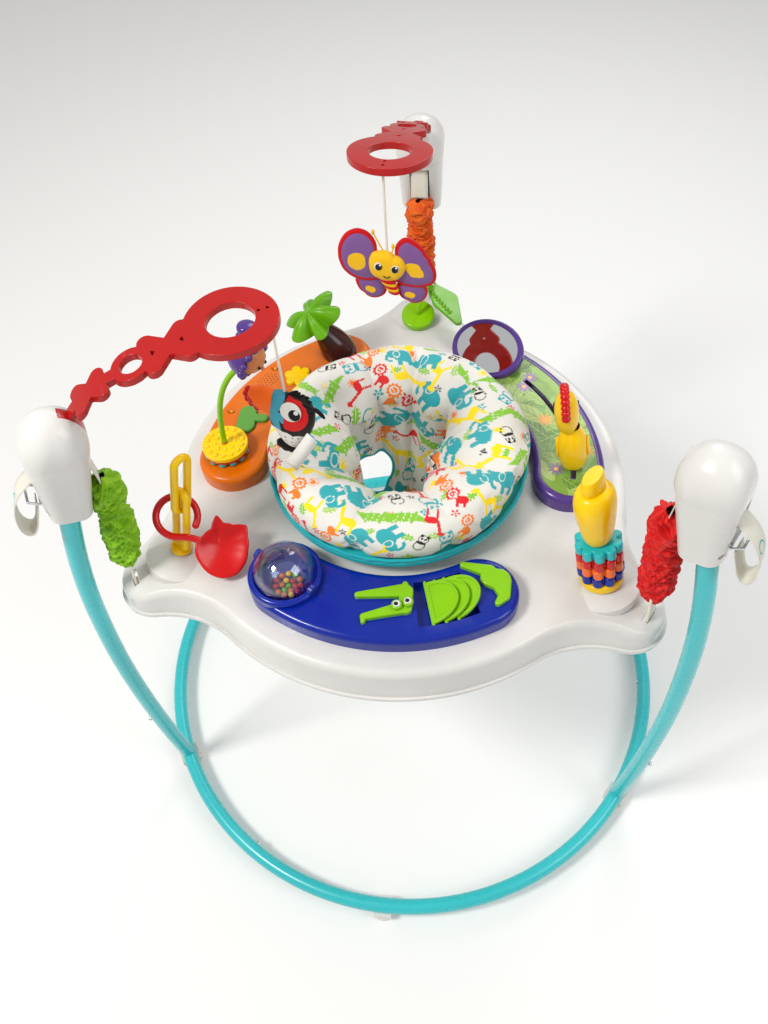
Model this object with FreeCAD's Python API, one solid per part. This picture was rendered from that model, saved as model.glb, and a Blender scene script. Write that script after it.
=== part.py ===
import FreeCAD, Part
import math
import os

# Activity jumper: a three-legged floor frame that carries a toy tray and a turning seat on springs.
# Millimetres, +Z up. The origin is the centre of the floor ring, on the floor.
# The front of the tray faces -Y. Legs stand at 90, 210 and 330 degrees, play consoles at 30, 150, 270.

Vector = FreeCAD.Vector
Placement = FreeCAD.Placement
Rotation = FreeCAD.Rotation
ORIGIN = Vector(0, 0, 0)
UP = Vector(0, 0, 1)
SIDEWAYS = Vector(0, 1, 0)
OUTWARD = Vector(1, 0, 0)

# ---- driving dimensions -------------------------------------------------------------------------
TUBE_OD = 22.2
TUBE_WALL = 1.4
SPIGOT_GAP = 0.1
SPIGOT_LENGTH = 24.0
RING_RADIUS = 409.0
RING_HEIGHT = 28.0
RING_SEAM = 27.0                 # degrees from a leg to the joint in the floor ring
LEG_ANGLES = {"rear": 90.0, "left": 210.0, "right": 330.0}
LEG_SEAM_HEIGHT = 204.0
LEG_WIDEST_HEIGHT = 303.0
LEG_WIDEST_RADIUS = 419.0
LEG_LOWER_BEND = 3800.0
LEG_MIDDLE_BEND = 2290.0
LEG_MIDDLE_TOP = 517.0
LEG_UPPER_BEND = 1235.0
LEG_TOP = 742.0
FOOT_RADIUS = 17.0
FOOT_THICKNESS = 9.0

HOUSING_RADIUS = 378.0
HOUSING_BOTTOM = 701.0
HOUSING_LEAN = 12.7
HOUSING_WIDTH = 60.0
HOUSING_WALL = 2.4
HOUSING_CORNER = 8.0
HOUSING_IN = 24.0
HOUSING_OUT = 18.7
HOUSING_FLARE = 10.2
DOME_START = 88.0
DOME_HEIGHT = 50.0
SADDLE_HEIGHT = 102.0
HOUSING_SEAM = -2.0
BOSS_SIDE = 19.5
BOSS_HEIGHT = 22.0
SADDLE_RADIUS = 11.0
SADDLE_OUT = -5.0

TRAY_RIM = 512.0
TRAY_TOP = 562.0
TRAY_WALL = 3.0
TRAY_SIDE_RADIUS = 290.0
TRAY_TIP_CENTRE = 328.0
TRAY_TIP_RADIUS = 43.0
TRAY_WAIST_RADIUS = 120.0
TRAY_FLAT_RADIUS = 262.0
TRAY_SHOULDER = 255.0
SEAT_HOLE = 128.0
COLLAR_TOP = 585.0
SOCKET_RADIUS = 286.0
SOCKET_HEIGHT = 568.6
SOCKET_LEAN = 13.5
SOCKET_BORE = 7.0
TAB_RADIUS = 350.0

CONSOLE_INNER = 168.0
CONSOLE_OUTER = 256.0
CONSOLE_SPAN = 31.5
CONSOLE_HEIGHT = 22.0
CONSOLE_WALL = 3.0
CONSOLE_CENTRE = (CONSOLE_INNER + CONSOLE_OUTER) / 2.0
BLUE_ANGLE = 270.0
ORANGE_ANGLE = 150.0
PURPLE_ANGLE = 30.0

BALL_RADIUS = 36.0
BALL_HEIGHT = 592.0
RUNNING_GAP = 0.05
SLOT_GAP = 0.2
SPRING_TOP = 722.0
SPRING_BOTTOM = 604.0


# ---- helpers ------------------------------------------------------------------------------------
def polar(radius, angle, height=0.0):
    """Point at a radius and an angle in degrees about the vertical axis."""
    return Vector(radius * math.cos(math.radians(angle)), radius * math.sin(math.radians(angle)), height)


def moved(shape, frame):
    """Copy of a shape carried by a placement."""
    copy = shape.copy()
    copy.Placement = frame.multiply(copy.Placement)
    return copy


def turned(shape, angle):
    """Copy of a shape turned about the vertical axis."""
    return moved(shape, Placement(ORIGIN, Rotation(UP, angle)))


def fused(shapes):
    """One solid from several overlapping ones."""
    whole = shapes[0].multiFuse(shapes[1:]) if len(shapes) > 1 else shapes[0]
    return whole.removeSplitter()


def softened(solid, radius, wanted):
    """Fillet the edges that wanted() picks, with the largest radius that the shape takes."""
    edges = [edge for edge in solid.Edges if wanted(edge)]
    for share in (1.0, 0.75, 0.5, 0.25):
        try:
            result = solid.makeFillet(radius * share, edges)
        except Exception:
            continue
        if result.isValid() and result.Volume > 0:
            return result
    print("no fillet taken, radius", radius, "edges", len(edges))
    return solid


def edges_at(height):
    """Picks the edges that lie in the horizontal plane at a height."""
    return lambda edge: abs(edge.BoundBox.ZMin - height) < 0.01 and abs(edge.BoundBox.ZMax - height) < 0.01


def cylinder(radius, start, end):
    """Round bar between two points."""
    axis = end.sub(start)
    return Part.makeCylinder(radius, axis.Length, start, axis)


def ring(outer, inner, bottom, top):
    """Flat ring about the vertical axis."""
    body = Part.makeCylinder(outer, top - bottom, Vector(0, 0, bottom))
    return body.cut(Part.makeCylinder(inner, top - bottom + 2, Vector(0, 0, bottom - 1)))


def block(low, high):
    """Box between two corners."""
    return Part.makeBox(high[0] - low[0], high[1] - low[1], high[2] - low[2], Vector(*low))


def face_of(edges):
    """Flat face inside a closed run of edges."""
    return Part.Face(Part.Wire(Part.__sortEdges__(edges)))


def arc(first, middle, last):
    """Edge of the arc through three points."""
    return Part.Arc(first, middle, last).toShape()


def polygon(points):
    """Flat face with straight sides."""
    return Part.Face(Part.makePolygon(list(points) + [points[0]]))


def bar(start, start_radius, end, end_radius, bottom, top):
    """Upright plate whose plan is two circles joined by their outer tangents."""
    first = Vector(start[0], start[1], bottom)
    last = Vector(end[0], end[1], bottom)
    height = Vector(0, 0, top - bottom)
    run = last.sub(first)
    discs = [Part.makeCylinder(start_radius, top - bottom, first)]
    discs.append(Part.makeCylinder(end_radius, top - bottom, last))
    heading = math.atan2(run.y, run.x)
    spread = math.acos((start_radius - end_radius) / run.Length)
    corners = []
    for side in (1, -1):
        away = heading + side * spread
        normal = Vector(math.cos(away), math.sin(away), 0)
        pair = [first + normal * start_radius, last + normal * end_radius]
        corners += pair if side == 1 else pair[::-1]
    return fused(discs + [polygon(corners).extrude(height)])


def lobed(centre, lobes, reach, lobe_radius, bottom, top, start=0.0):
    """Upright plate with round lobes about a centre, like a flower."""
    middle = Vector(centre[0], centre[1], bottom)
    parts = [Part.makeCylinder(reach, top - bottom, middle)]
    for number in range(lobes):
        spot = middle + polar(reach, start + number * 360.0 / lobes)
        parts.append(Part.makeCylinder(lobe_radius, top - bottom, spot))
    return fused(parts)


def sector(inner, outer, first, last, bottom, top):
    """Part of a flat ring between two angles."""
    height = top - bottom
    whole = Part.makeCylinder(outer, height, Vector(0, 0, bottom), UP, last - first)
    hole = Part.makeCylinder(inner, height + 2, Vector(0, 0, bottom - 1))
    return turned(whole.cut(hole), first)


def swept(path, radius):
    """Solid round bar along a path of edges."""
    wire = Part.Wire(path)
    start = wire.Edges[0].valueAt(wire.Edges[0].FirstParameter)
    heading = wire.Edges[0].tangentAt(wire.Edges[0].FirstParameter)
    section = Part.Wire([Part.makeCircle(radius, start, heading)])
    return wire.makePipeShell([section], True, True)


def curve(points):
    """Smooth edge through points."""
    spline = Part.BSplineCurve()
    spline.interpolate([Vector(*point) for point in points])
    return spline.toShape()


def ellipse_wire(half_x, half_y, height, centre=(0.0, 0.0)):
    """Closed ellipse in a horizontal plane."""
    middle = Vector(centre[0], centre[1], height)
    if abs(half_x - half_y) < 0.001:
        return Part.Wire([Part.makeCircle(half_x, middle)])
    if half_x > half_y:
        oval = Part.Ellipse(middle + Vector(half_x, 0, 0), middle + Vector(0, half_y, 0), middle)
    else:
        oval = Part.Ellipse(middle + Vector(0, half_y, 0), middle + Vector(-half_x, 0, 0), middle)
    return Part.Wire([oval.toShape()])


def stacked_ovals(rows):
    """Smooth solid through horizontal ellipses, given as (height, half_x, half_y, shift_x)."""
    wires = [ellipse_wire(half_x, half_y, height, (shift, 0.0)) for height, half_x, half_y, shift in rows]
    return Part.makeLoft(wires, True, False)


def spun(points, centre=ORIGIN):
    """Solid of revolution about the vertical axis from (radius, height) corners."""
    outline = polygon([Vector(radius, 0, height) for radius, height in points])
    return outline.revolve(centre, UP, 360)


def leaning(radius, height, lean, angle):
    """Frame that stands at a radius and leans towards the middle; local X points outward."""
    upright = Placement(Vector(radius, 0, height), Rotation(SIDEWAYS, -lean))
    return Placement(ORIGIN, Rotation(UP, angle)).multiply(upright)


def socket_frame(angle):
    """Frame of a toy socket at a tray corner."""
    return leaning(SOCKET_RADIUS, SOCKET_HEIGHT, SOCKET_LEAN, angle)


# ---- floor frame --------------------------------------------------------------------------------
def ring_tube(radius, first, last):
    """Round bar bent to the floor ring between two angles."""
    path = arc(polar(RING_RADIUS, first, RING_HEIGHT), polar(RING_RADIUS, (first + last) / 2, RING_HEIGHT),
               polar(RING_RADIUS, last, RING_HEIGHT))
    return swept([path], radius)


def bend(bottom, top, bend_radius, contact_radius, contact_height):
    """Arc of a leg in the XZ plane, on a circle that passes its widest point with a given slope."""
    centre_x = contact_radius - bend_radius
    points = []
    for height in (bottom, (bottom + top) / 2, top):
        rise = height - contact_height
        points.append(Vector(centre_x + math.sqrt(bend_radius ** 2 - rise ** 2), 0, height))
    return arc(*points)


def leg_path(bottom, top):
    """Edges of the leg's centre line between two heights, bowed outward in its middle."""
    edges = []
    spans = [(-100.0, LEG_WIDEST_HEIGHT, LEG_LOWER_BEND)]
    spans += [(LEG_WIDEST_HEIGHT, LEG_MIDDLE_TOP, LEG_MIDDLE_BEND)]
    radius_now, height_now = LEG_WIDEST_RADIUS, LEG_WIDEST_HEIGHT
    for low, high, bend_radius in spans:
        first, last = max(low, bottom), min(high, top)
        if last - first > 0.01:
            edges.append(bend(first, last, bend_radius, radius_now, height_now))
    if top > LEG_MIDDLE_TOP:
        slope = math.asin((LEG_MIDDLE_TOP - LEG_WIDEST_HEIGHT) / LEG_MIDDLE_BEND)
        meet_x = LEG_WIDEST_RADIUS - LEG_MIDDLE_BEND * (1 - math.cos(slope))
        centre_height = LEG_MIDDLE_TOP - LEG_UPPER_BEND * math.sin(slope)
        widest = meet_x + LEG_UPPER_BEND * (1 - math.cos(slope))
        first = max(LEG_MIDDLE_TOP, bottom)
        edges.append(bend(first, top, LEG_UPPER_BEND, widest, centre_height))
    return edges


def snap_hole(frame_point, direction):
    """Short bar that cuts a snap button hole across a tube wall."""
    return cylinder(3.6, frame_point, frame_point + direction * 15.0)


def leg_button_place(angle):
    """Centre line point and outward direction of the snap button low on a leg."""
    height = LEG_SEAM_HEIGHT - 12.0
    return polar(417.6, angle, height), polar(1.0, angle)


def ring_button_place(angle):
    """Centre line point and inward direction of the snap button in the floor ring."""
    start = angle + RING_SEAM + 1.7
    return polar(RING_RADIUS, start, RING_HEIGHT), polar(-1.0, start)


def base_arc(angle):
    """A third of the floor ring with the welded stub of one leg and a reduced end."""
    outer = TUBE_OD / 2
    inner = outer - TUBE_WALL
    first, last = angle - 120 + RING_SEAM, angle + RING_SEAM
    tail = math.degrees(SPIGOT_LENGTH / RING_RADIUS)
    stub_path = [turned(edge, angle) for edge in leg_path(RING_HEIGHT, LEG_SEAM_HEIGHT)]
    solid = fused([ring_tube(outer, first, last), swept(stub_path, outer)])
    solid = solid.cut(ring_tube(inner, first - 1, last + 1))
    bore_path = [turned(edge, angle) for edge in leg_path(RING_HEIGHT + outer, LEG_SEAM_HEIGHT + 5)]
    solid = solid.cut(swept(bore_path, inner))
    spigot = ring_tube(inner - SPIGOT_GAP, last - 0.6, last + tail)
    sleeve = ring_tube(inner + 0.2, last - 0.6, last - 0.02)
    spigot = spigot.cut(ring_tube(inner - 1.6, last - 1.2, last + tail + 1))
    solid = solid.fuse([spigot, sleeve.cut(ring_tube(inner - 1.6, last - 1.2, last + 1))]).removeSplitter()
    solid = solid.cut(snap_hole(*leg_button_place(angle)))
    solid = solid.cut(snap_hole(*ring_button_place(angle)))
    return solid.cut(snap_hole(*ring_button_place(angle - 120)))


def upright(angle):
    """Bowed leg tube with a reduced lower end that slips into the welded stub."""
    outer = TUBE_OD / 2
    inner = outer - TUBE_WALL
    tube = swept(leg_path(LEG_SEAM_HEIGHT, LEG_TOP), outer)
    spigot = swept(leg_path(LEG_SEAM_HEIGHT - SPIGOT_LENGTH, LEG_SEAM_HEIGHT + 3), inner - SPIGOT_GAP)
    bore = swept(leg_path(LEG_SEAM_HEIGHT + 3, LEG_TOP + 5), inner)
    lower_bore = swept(leg_path(LEG_SEAM_HEIGHT - SPIGOT_LENGTH - 5, LEG_SEAM_HEIGHT + 4), inner - 1.6)
    leg = turned(tube.fuse(spigot).removeSplitter().cut(bore).cut(lower_bore), angle)
    return leg.cut(snap_hole(*leg_button_place(angle)))


def floor_foot(angle):
    """Round foot with a saddle that clips under the ring tube."""
    disc = Part.makeCylinder(FOOT_RADIUS, FOOT_THICKNESS)
    disc = softened(disc, 2.5, edges_at(FOOT_THICKNESS))
    saddle = block((-15, -13, FOOT_THICKNESS - 1), (15, 13, RING_HEIGHT - 4))
    foot = moved(fused([disc, saddle]), Placement(polar(RING_RADIUS, 0), Rotation()))
    foot = foot.cut(Part.makeTorus(RING_RADIUS, TUBE_OD / 2 + RUNNING_GAP, Vector(0, 0, RING_HEIGHT)))
    return turned(foot, angle)


def snap_button(place, direction):
    """Sprung chrome button that locks two tubes, from inside the tube to just proud of it."""
    start = place + direction * 6.0
    button = cylinder(3.4, start, place + direction * (TUBE_OD / 2 + 1.0))
    dome = Part.makeSphere(3.4, place + direction * (TUBE_OD / 2 + 1.0))
    flange = cylinder(3.9, start - direction * 0.8, start + direction * 0.8)
    return fused([button, dome, flange])


# ---- spring housings at the leg tops ------------------------------------------------------------
def housing_frame(angle):
    """Frame at a housing's tube hole; local Z runs up along the leaning leg top."""
    return leaning(HOUSING_RADIUS, HOUSING_BOTTOM, HOUSING_LEAN, angle)


def rounded_section(height, left, right, half, corner):
    """Rounded rectangle in a horizontal plane, from left to right along X and half to each side."""
    middle = Vector((left + right) / 2, 0, height)
    reach = (right - left) / 2 - corner
    spread = half - corner
    edges = []
    for turn in (0, 90, 180, 270):
        along = 1 if turn in (0, 270) else -1
        aside = 1 if turn in (0, 90) else -1
        hub = middle + Vector(along * reach, aside * spread, 0)
        points = [hub + polar(corner, turn + step) for step in (0, 45, 90)]
        edges.append(arc(*points))
        following = middle + Vector(-aside * reach, along * spread, 0)
        edges.append(Part.makeLine(points[2], following + polar(corner, turn + 90)))
    return Part.Wire(edges)


def housing_wall(height):
    """Local X of the housing's flat outer wall, which leans out with height."""
    return HOUSING_OUT + (height - HOUSING_CORNER) * math.tan(math.radians(HOUSING_FLARE))


def housing_block(inset):
    """Housing outline: a tapered body with round corners and a domed head."""
    half = HOUSING_WIDTH / 2
    rows = [(1.0 + inset, -18.0, 13.0, half - 9, 9.0), (HOUSING_CORNER, -HOUSING_IN, HOUSING_OUT, half - 3, 13.0),
            (DOME_START, -30.0, housing_wall(DOME_START), half, 20.0)]
    body = [rounded_section(height, left + inset, right - inset, wide - inset, corner - inset)
            for height, left, right, wide, corner in rows]
    lower = Part.makeLoft(body, True, True)
    left, right = -30.0 + inset, housing_wall(DOME_START) - inset
    dome = []
    for turn in (0, 18, 36, 54, 70, 82):
        rise = math.sin(math.radians(turn))
        share = math.cos(math.radians(turn))
        height = DOME_START + (DOME_HEIGHT - inset) * rise
        bulge = 1 + 0.14 * math.sin(math.radians(2 * turn))
        middle = (left + right) / 2
        reach = (right - left) / 2 * share * bulge
        wide = (half - inset) * share * bulge
        corner = min(reach, wide) * (0.66 + 0.3 * rise)
        dome.append(rounded_section(height, middle - reach, middle + reach, wide, corner))
    return fused([lower, Part.makeLoft(dome, True, False)])


def strap_path():
    """Local (out, up) points of the height strap, from the spring over the roller to its outer loop."""
    reach = SADDLE_RADIUS + 1.8
    over = []
    for turn in range(200, -10, -35):
        angle = math.radians(turn)
        over.append((SADDLE_OUT + reach * math.cos(angle), SADDLE_HEIGHT + reach * math.sin(angle)))
    inside = [(-36.4, 41.0), (-26.0, 74.0)]
    outside = [(10.0, 84.0), (19.0, 69.0), (31.0, 58.0), (49.0, 32.0), (50.0, 8.0), (44.0, -16.0)]
    return inside + over + outside + [(36.0, -18.0), (29.5, 4.0), (27.4, 23.0)]


def ribbon(points, thickness, width):
    """Flat webbing whose edge line follows points in the local XZ plane."""
    sides = []
    for sign in (1, -1):
        row = []
        for index, (x, z) in enumerate(points):
            before = points[max(index - 1, 0)]
            after = points[min(index + 1, len(points) - 1)]
            way = Vector(after[0] - before[0], 0, after[1] - before[1]).normalize()
            normal = Vector(-way.z, 0, way.x)
            row.append(Vector(x, -width / 2, z) + normal * (sign * thickness / 2))
        sides.append(row)
    return polygon(sides[0] + sides[1][::-1]).extrude(Vector(0, width, 0))


def bar_slot(gap):
    """Slot in a housing's head for a toy bar, in the bar's frame, less a gap all round."""
    return block((5 + gap, -7.1 + gap, gap), (32 - gap, 7.1 - gap, 70 - gap))


def bar_root(angle, bar_place):
    """Curved root of a toy bar that fills its slot, flush with the housing's skin."""
    skin = housing_block(SLOT_GAP).cut(housing_block(HOUSING_WALL))
    return moved(skin, bar_place.inverse().multiply(housing_frame(angle))).common(bar_slot(SLOT_GAP))


def housing_shells(angle, bar_place):
    """Inner and outer half of one housing, split across the leg."""
    outer = housing_block(0.0)
    middle = housing_block(HOUSING_WALL / 2)
    shell = outer.cut(housing_block(HOUSING_WALL))
    frame = housing_frame(angle)
    leg_top = leg_path(HOUSING_BOTTOM - 15, LEG_TOP + 3)
    tube_room = moved(swept(leg_top, TUBE_OD / 2 + RUNNING_GAP), housing_frame(0.0).inverse())
    strap_out = block((12, -13, 56), (45, 13, 78))
    strap_down = block((-38, -13, 20), (-17, 13, 84))
    shell = shell.cut(strap_out).cut(strap_down)
    for spot in (-BOSS_SIDE, BOSS_SIDE):
        boss = cylinder(5.0, Vector(-30, spot, BOSS_HEIGHT), Vector(30, spot, BOSS_HEIGHT))
        shell = shell.fuse(boss.common(middle))
    for spot in (-BOSS_SIDE, BOSS_SIDE):
        shell = shell.cut(cylinder(1.7, Vector(-16, spot, BOSS_HEIGHT), Vector(30, spot, BOSS_HEIGHT)))
        shell = shell.cut(cylinder(3.6, Vector(11, spot, BOSS_HEIGHT), Vector(35, spot, BOSS_HEIGHT)))
    saddle_axis = Vector(SADDLE_OUT, 0, SADDLE_HEIGHT)
    saddle = cylinder(SADDLE_RADIUS, saddle_axis - SIDEWAYS * 35, saddle_axis + SIDEWAYS * 35)
    shell = shell.fuse(saddle.common(middle)).cut(tube_room)
    if bar_place:
        shell = shell.cut(moved(bar_slot(0.0), frame.inverse().multiply(bar_place)))
    inner_half = shell.common(block((-60, -60, -20), (HOUSING_SEAM, 60, 160)))
    outer_half = shell.common(block((HOUSING_SEAM, -60, -20), (60, 60, 160)))
    return moved(inner_half.removeSplitter(), frame), moved(outer_half.removeSplitter(), frame)


def housing_screws(angle):
    """Two pan-head screws that draw the halves together."""
    screws = []
    for spot in (-BOSS_SIDE, BOSS_SIDE):
        shank = cylinder(1.65, Vector(-14, spot, BOSS_HEIGHT), Vector(13, spot, BOSS_HEIGHT))
        head = cylinder(3.3, Vector(11.0, spot, BOSS_HEIGHT), Vector(13.4, spot, BOSS_HEIGHT))
        screws.append(moved(fused([shank, head]), housing_frame(angle)))
    return screws


def strap_buckle(angle):
    """Steel plate riveted to the housing with a wire bail that grips the strap's loop."""
    slope = 10.2
    plate = block((0.05, -12, 0), (1.2, 12, 20))
    wire = []
    for side in (-1, 1):
        wire.append(cylinder(1.3, Vector(1.6, side * 13.2, 16), Vector(12.0, side * 13.2, 24)))
        wire.append(Part.makeSphere(1.3, Vector(12.0, side * 13.2, 24)))
    wire.append(cylinder(1.3, Vector(12.0, -13.2, 24), Vector(12.0, 13.2, 24)))
    pivot = cylinder(1.3, Vector(1.6, -13.2, 16), Vector(1.6, 13.2, 16))
    on_wall = Placement(Vector(19.8, 0, 14), Rotation(SIDEWAYS, slope))
    return moved(fused([plate, pivot] + wire), housing_frame(angle).multiply(on_wall))


# ---- springs, sleeves and tabs ------------------------------------------------------------------
def spring_place(height):
    """Radius of the spring's centre line at a height."""
    return 332.0 + (730.0 - height) * 0.097


def coil_spring(angle):
    """Extension spring wound between the strap and the tray tab."""
    wire_radius = 1.3
    length = SPRING_TOP - SPRING_BOTTOM
    helix = Part.makeHelix(5.9, length, 9.0)
    section = Part.Wire([Part.makeCircle(wire_radius, Vector(9.0, 0, 0), SIDEWAYS)])
    coil = Part.Wire(helix.Edges).makePipeShell([section], True, True)
    lean = math.degrees(math.atan(0.097))
    frame = leaning(spring_place(SPRING_BOTTOM), SPRING_BOTTOM, lean, angle)
    return moved(coil, frame)


def spring_sleeve(angle):
    """Gathered fabric sleeve round the spring, as a plain hollow tube."""
    lean = math.degrees(math.atan(0.097))
    frame = leaning(spring_place(580.0), 580.0, lean, angle)
    shape = [(12.0, 0), (14.0, 20), (14.5, 40), (17.5, 60), (17.5, 95), (14.5, 125), (12.5, 151),
             (11.4, 151), (11.4, 0)]
    return moved(spun(shape), frame)


def tray_tab(angle):
    """Webbing tab from a sleeve through the tray's corner slot, with a thick sewn end below."""
    strip = block((-1.3, -10, -38), (1.3, 10, 42))
    stop = block((-4, -14, -38), (4, 14, -30))
    lean = math.degrees(math.atan(0.097))
    return moved(fused([strip, stop]), leaning(TAB_RADIUS, 558.0, lean, angle))


# ---- overhead toy bars and hanging toys ---------------------------------------------------------
def toy_bar_plan():
    """Plan of a toy bar: neck, small knot, small ring, large knot and large ring, along local X."""
    low, high = -150, 150
    parts = [bar((16, 0), 7.0, (28, 0), 6.5, low, high), bar((40, 0), 7.0, (70, 0), 6.8, low, high)]
    for centre, reach, radius in ((40, 12, 7.0), (122, 18, 8.5)):
        for side in (-1, 1):
            parts.append(bar((centre - reach, -side * reach), radius, (centre + reach, side * reach),
                             radius, low, high))
    parts.append(Part.makeCylinder(20.5, high - low, Vector(85, 0, low)))
    parts.append(Part.makeCylinder(47.0, high - low, Vector(185, 0, low)))
    plan = fused(parts)
    for centre, radius in ((85, 11.5), (185, 24.0), (213, 1.9), (222, 1.9)):
        plan = plan.cut(Part.makeCylinder(radius, high - low, Vector(centre, 0, low)))
    return plan


def toy_bar():
    """Arched toy bar in its own frame: X runs inward from the leg top, Z up from the leg's plug."""
    band = 4.0
    upper = [Vector(x, 0, z + band) for x, z in ((4, 7), (28, 34), (62, 50), (140, 66), (240, 70))]
    lower = [Vector(point.x, 0, point.z - 2 * band) for point in upper]
    edges = [arc(*upper[:3]), arc(*upper[2:]), arc(*lower[:3]), arc(*lower[2:])]
    edges += [Part.makeLine(upper[0], lower[0]), Part.makeLine(upper[-1], lower[-1])]
    strip = face_of(edges)
    strip.translate(Vector(0, -60, 0))
    arch = strip.extrude(Vector(0, 120, 0))
    shape = toy_bar_plan().common(arch)
    return softened(shape, 2.6, lambda edge: edge.BoundBox.ZLength < 45 and edge.Length > 3)


def bar_frame(angle, pitch, sway):
    """Frame of a toy bar at a leg top, tipped up by pitch and swung sideways by sway."""
    place = Placement(Vector(347.0, 0, 801.0), Rotation(UP, 180 + sway))
    tip = Placement(ORIGIN, Rotation(SIDEWAYS, -pitch))
    return Placement(ORIGIN, Rotation(UP, angle)).multiply(place).multiply(tip)


BAR_FRAMES = {"left": bar_frame(210.0, 0.0, 0.0), "rear": bar_frame(90.0, 7.0, -5.2)}
CORD_RADIUS = 1.5
CORD_HOLE = Vector(222.0, 0, 69.3)
CORD_DROP = {"left": 763.0, "rear": 794.0}


def cord_top(side):
    """Point just under the toy bar where its cord comes out."""
    return BAR_FRAMES[side].multVec(CORD_HOLE - Vector(0, 0, 5.6))


def toy_cord(side):
    """Straight cord under load, from the toy bar to its toy."""
    top = cord_top(side)
    bottom = Vector(top.x, top.y, CORD_DROP[side])
    print("toy cord", side, "length", round(top.z - bottom.z, 1), "one straight run, no bend radius")
    return cylinder(CORD_RADIUS, top, bottom)


def toy_plate(parts, thickness, place, facing):
    """Soft toy as a rounded plate: its plan is drawn in (across, up) and stood upright."""
    solid = fused(parts)
    solid = softened(solid, thickness * 0.3, lambda edge: edge.BoundBox.ZLength < 0.01)
    stand = Placement(place, Rotation(UP, facing)).multiply(Placement(ORIGIN, Rotation(OUTWARD, 90)))
    return moved(solid, stand)


def toucan():
    """Soft bird that hangs under the left toy bar."""
    half = 13.0
    parts = [bar((8, -31), 26, (9, -68), 15, -half, half)]
    parts.append(bar((-2, -21), 14, (-36, -20), 8, -half, half))
    parts.append(bar((8, -20), 12, (0, -9), 7.5, -half, half))
    top = cord_top("left")
    return toy_plate(parts, 2 * half, Vector(top.x, top.y, CORD_DROP["left"] - 0.2), -6.0)


def butterfly():
    """Soft butterfly that hangs under the rear toy bar."""
    half = 6.0
    parts = [bar((-32, 4), 22, (-22, -22), 14, -half, half)]
    parts.append(bar((27, -14), 20, (27, -38), 17, -half, half))
    parts.append(bar((0, -18), 17, (6, -54), 9, -half, half))
    parts.append(bar((-6, -40), 11, (-25, -54), 12, -half, half))
    parts.append(bar((8, -46), 11, (25, -66), 12, -half, half))
    parts.append(bar((-20, -14), 10, (20, -22), 10, -half, half))
    top = cord_top("rear")
    return toy_plate(parts, 2 * half, Vector(top.x, top.y, CORD_DROP["rear"] - 1.2), 8.0)


# ---- tray ---------------------------------------------------------------------------------------
def tray_wire(grow, height):
    """Tray outline: three round corners, three hollow flanks and three wide sides."""
    side = TRAY_SIDE_RADIUS + grow
    tip = TRAY_TIP_RADIUS + grow
    waist = TRAY_WAIST_RADIUS - grow
    reach = TRAY_SIDE_RADIUS + TRAY_WAIST_RADIUS
    span = TRAY_TIP_RADIUS + TRAY_WAIST_RADIUS
    along = (reach ** 2 + TRAY_TIP_CENTRE ** 2 - span ** 2) / (2 * TRAY_TIP_CENTRE)
    across = math.sqrt(reach ** 2 - along ** 2)
    hub = Vector(along, across, height)
    tip_hub = Vector(TRAY_TIP_CENTRE, 0, height)
    tip_end = tip_hub + hub.sub(tip_hub).normalize() * tip
    side_end = Vector(along, across, 0) * (side / reach) + Vector(0, 0, height)
    inward = (tip_end - hub).normalize() + (side_end - hub).normalize()
    waist_middle = hub + inward.normalize() * waist
    mirror = lambda point: Vector(point.x, -point.y, point.z)
    edges = []
    for angle in (90.0, 210.0, 330.0):
        corner = [arc(mirror(tip_end), tip_hub + Vector(tip, 0, 0), tip_end)]
        corner.append(arc(tip_end, waist_middle, side_end))
        corner.append(arc(mirror(tip_end), mirror(waist_middle), mirror(side_end)))
        corner.append(arc(side_end, polar(side, 60, height),
                          Vector(*turned(Part.Vertex(mirror(side_end)), 120).Point)))
        edges += [turned(edge, angle) for edge in corner]
    return Part.Wire(Part.__sortEdges__(edges))


def tray_dome(lowered):
    """Everything under the tray's top face, which is flat in the middle and falls to the corners."""
    top = TRAY_TOP - lowered
    edge_radius = 420.0
    drop = lambda radius: TRAY_SHOULDER - math.sqrt(TRAY_SHOULDER ** 2 - (radius - TRAY_FLAT_RADIUS) ** 2)
    middle = (TRAY_FLAT_RADIUS + edge_radius) / 2
    rim = Vector(edge_radius, 0, top - drop(edge_radius))
    flat = Vector(TRAY_FLAT_RADIUS, 0, top)
    edges = [Part.makeLine(Vector(0, 0, 400), Vector(edge_radius, 0, 400))]
    edges.append(Part.makeLine(Vector(edge_radius, 0, 400), rim))
    edges.append(arc(rim, Vector(middle, 0, top - drop(middle)), flat))
    edges.append(Part.makeLine(flat, Vector(0, 0, top)))
    edges.append(Part.makeLine(Vector(0, 0, top), Vector(0, 0, 400)))
    return face_of(edges).revolve(ORIGIN, UP, 360)


def tray_block(inset):
    """Solid tray body, drawn in by inset on every side but the bottom."""
    base = TRAY_RIM - (1.0 if inset else 0.0)
    skirt = Part.makeLoft([tray_wire(-inset, base), tray_wire(-inset - 9.0, base + 80.0)], True, True)
    return skirt.common(tray_dome(inset))


def top_outline(edge):
    """Picks the outline edges where the tray's top meets its skirt."""
    box = edge.BoundBox
    return box.ZMin > 525 and max(abs(box.XMax), abs(box.XMin), box.YMax, -box.YMin) > 150 \
        and edge.Length > 30 and box.YLength > 2


def battery_case():
    """Walls of the battery case moulded under the tray, below the orange console."""
    low, high = TRAY_TOP - TRAY_WALL - 28.0, TRAY_TOP - 1.0
    case = block((190, -42, low), (246, 42, high))
    room = block((192.5, -39.5, low - 1), (243.5, 39.5, high + 1))
    return turned(case.cut(room), ORANGE_ANGLE)


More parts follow.
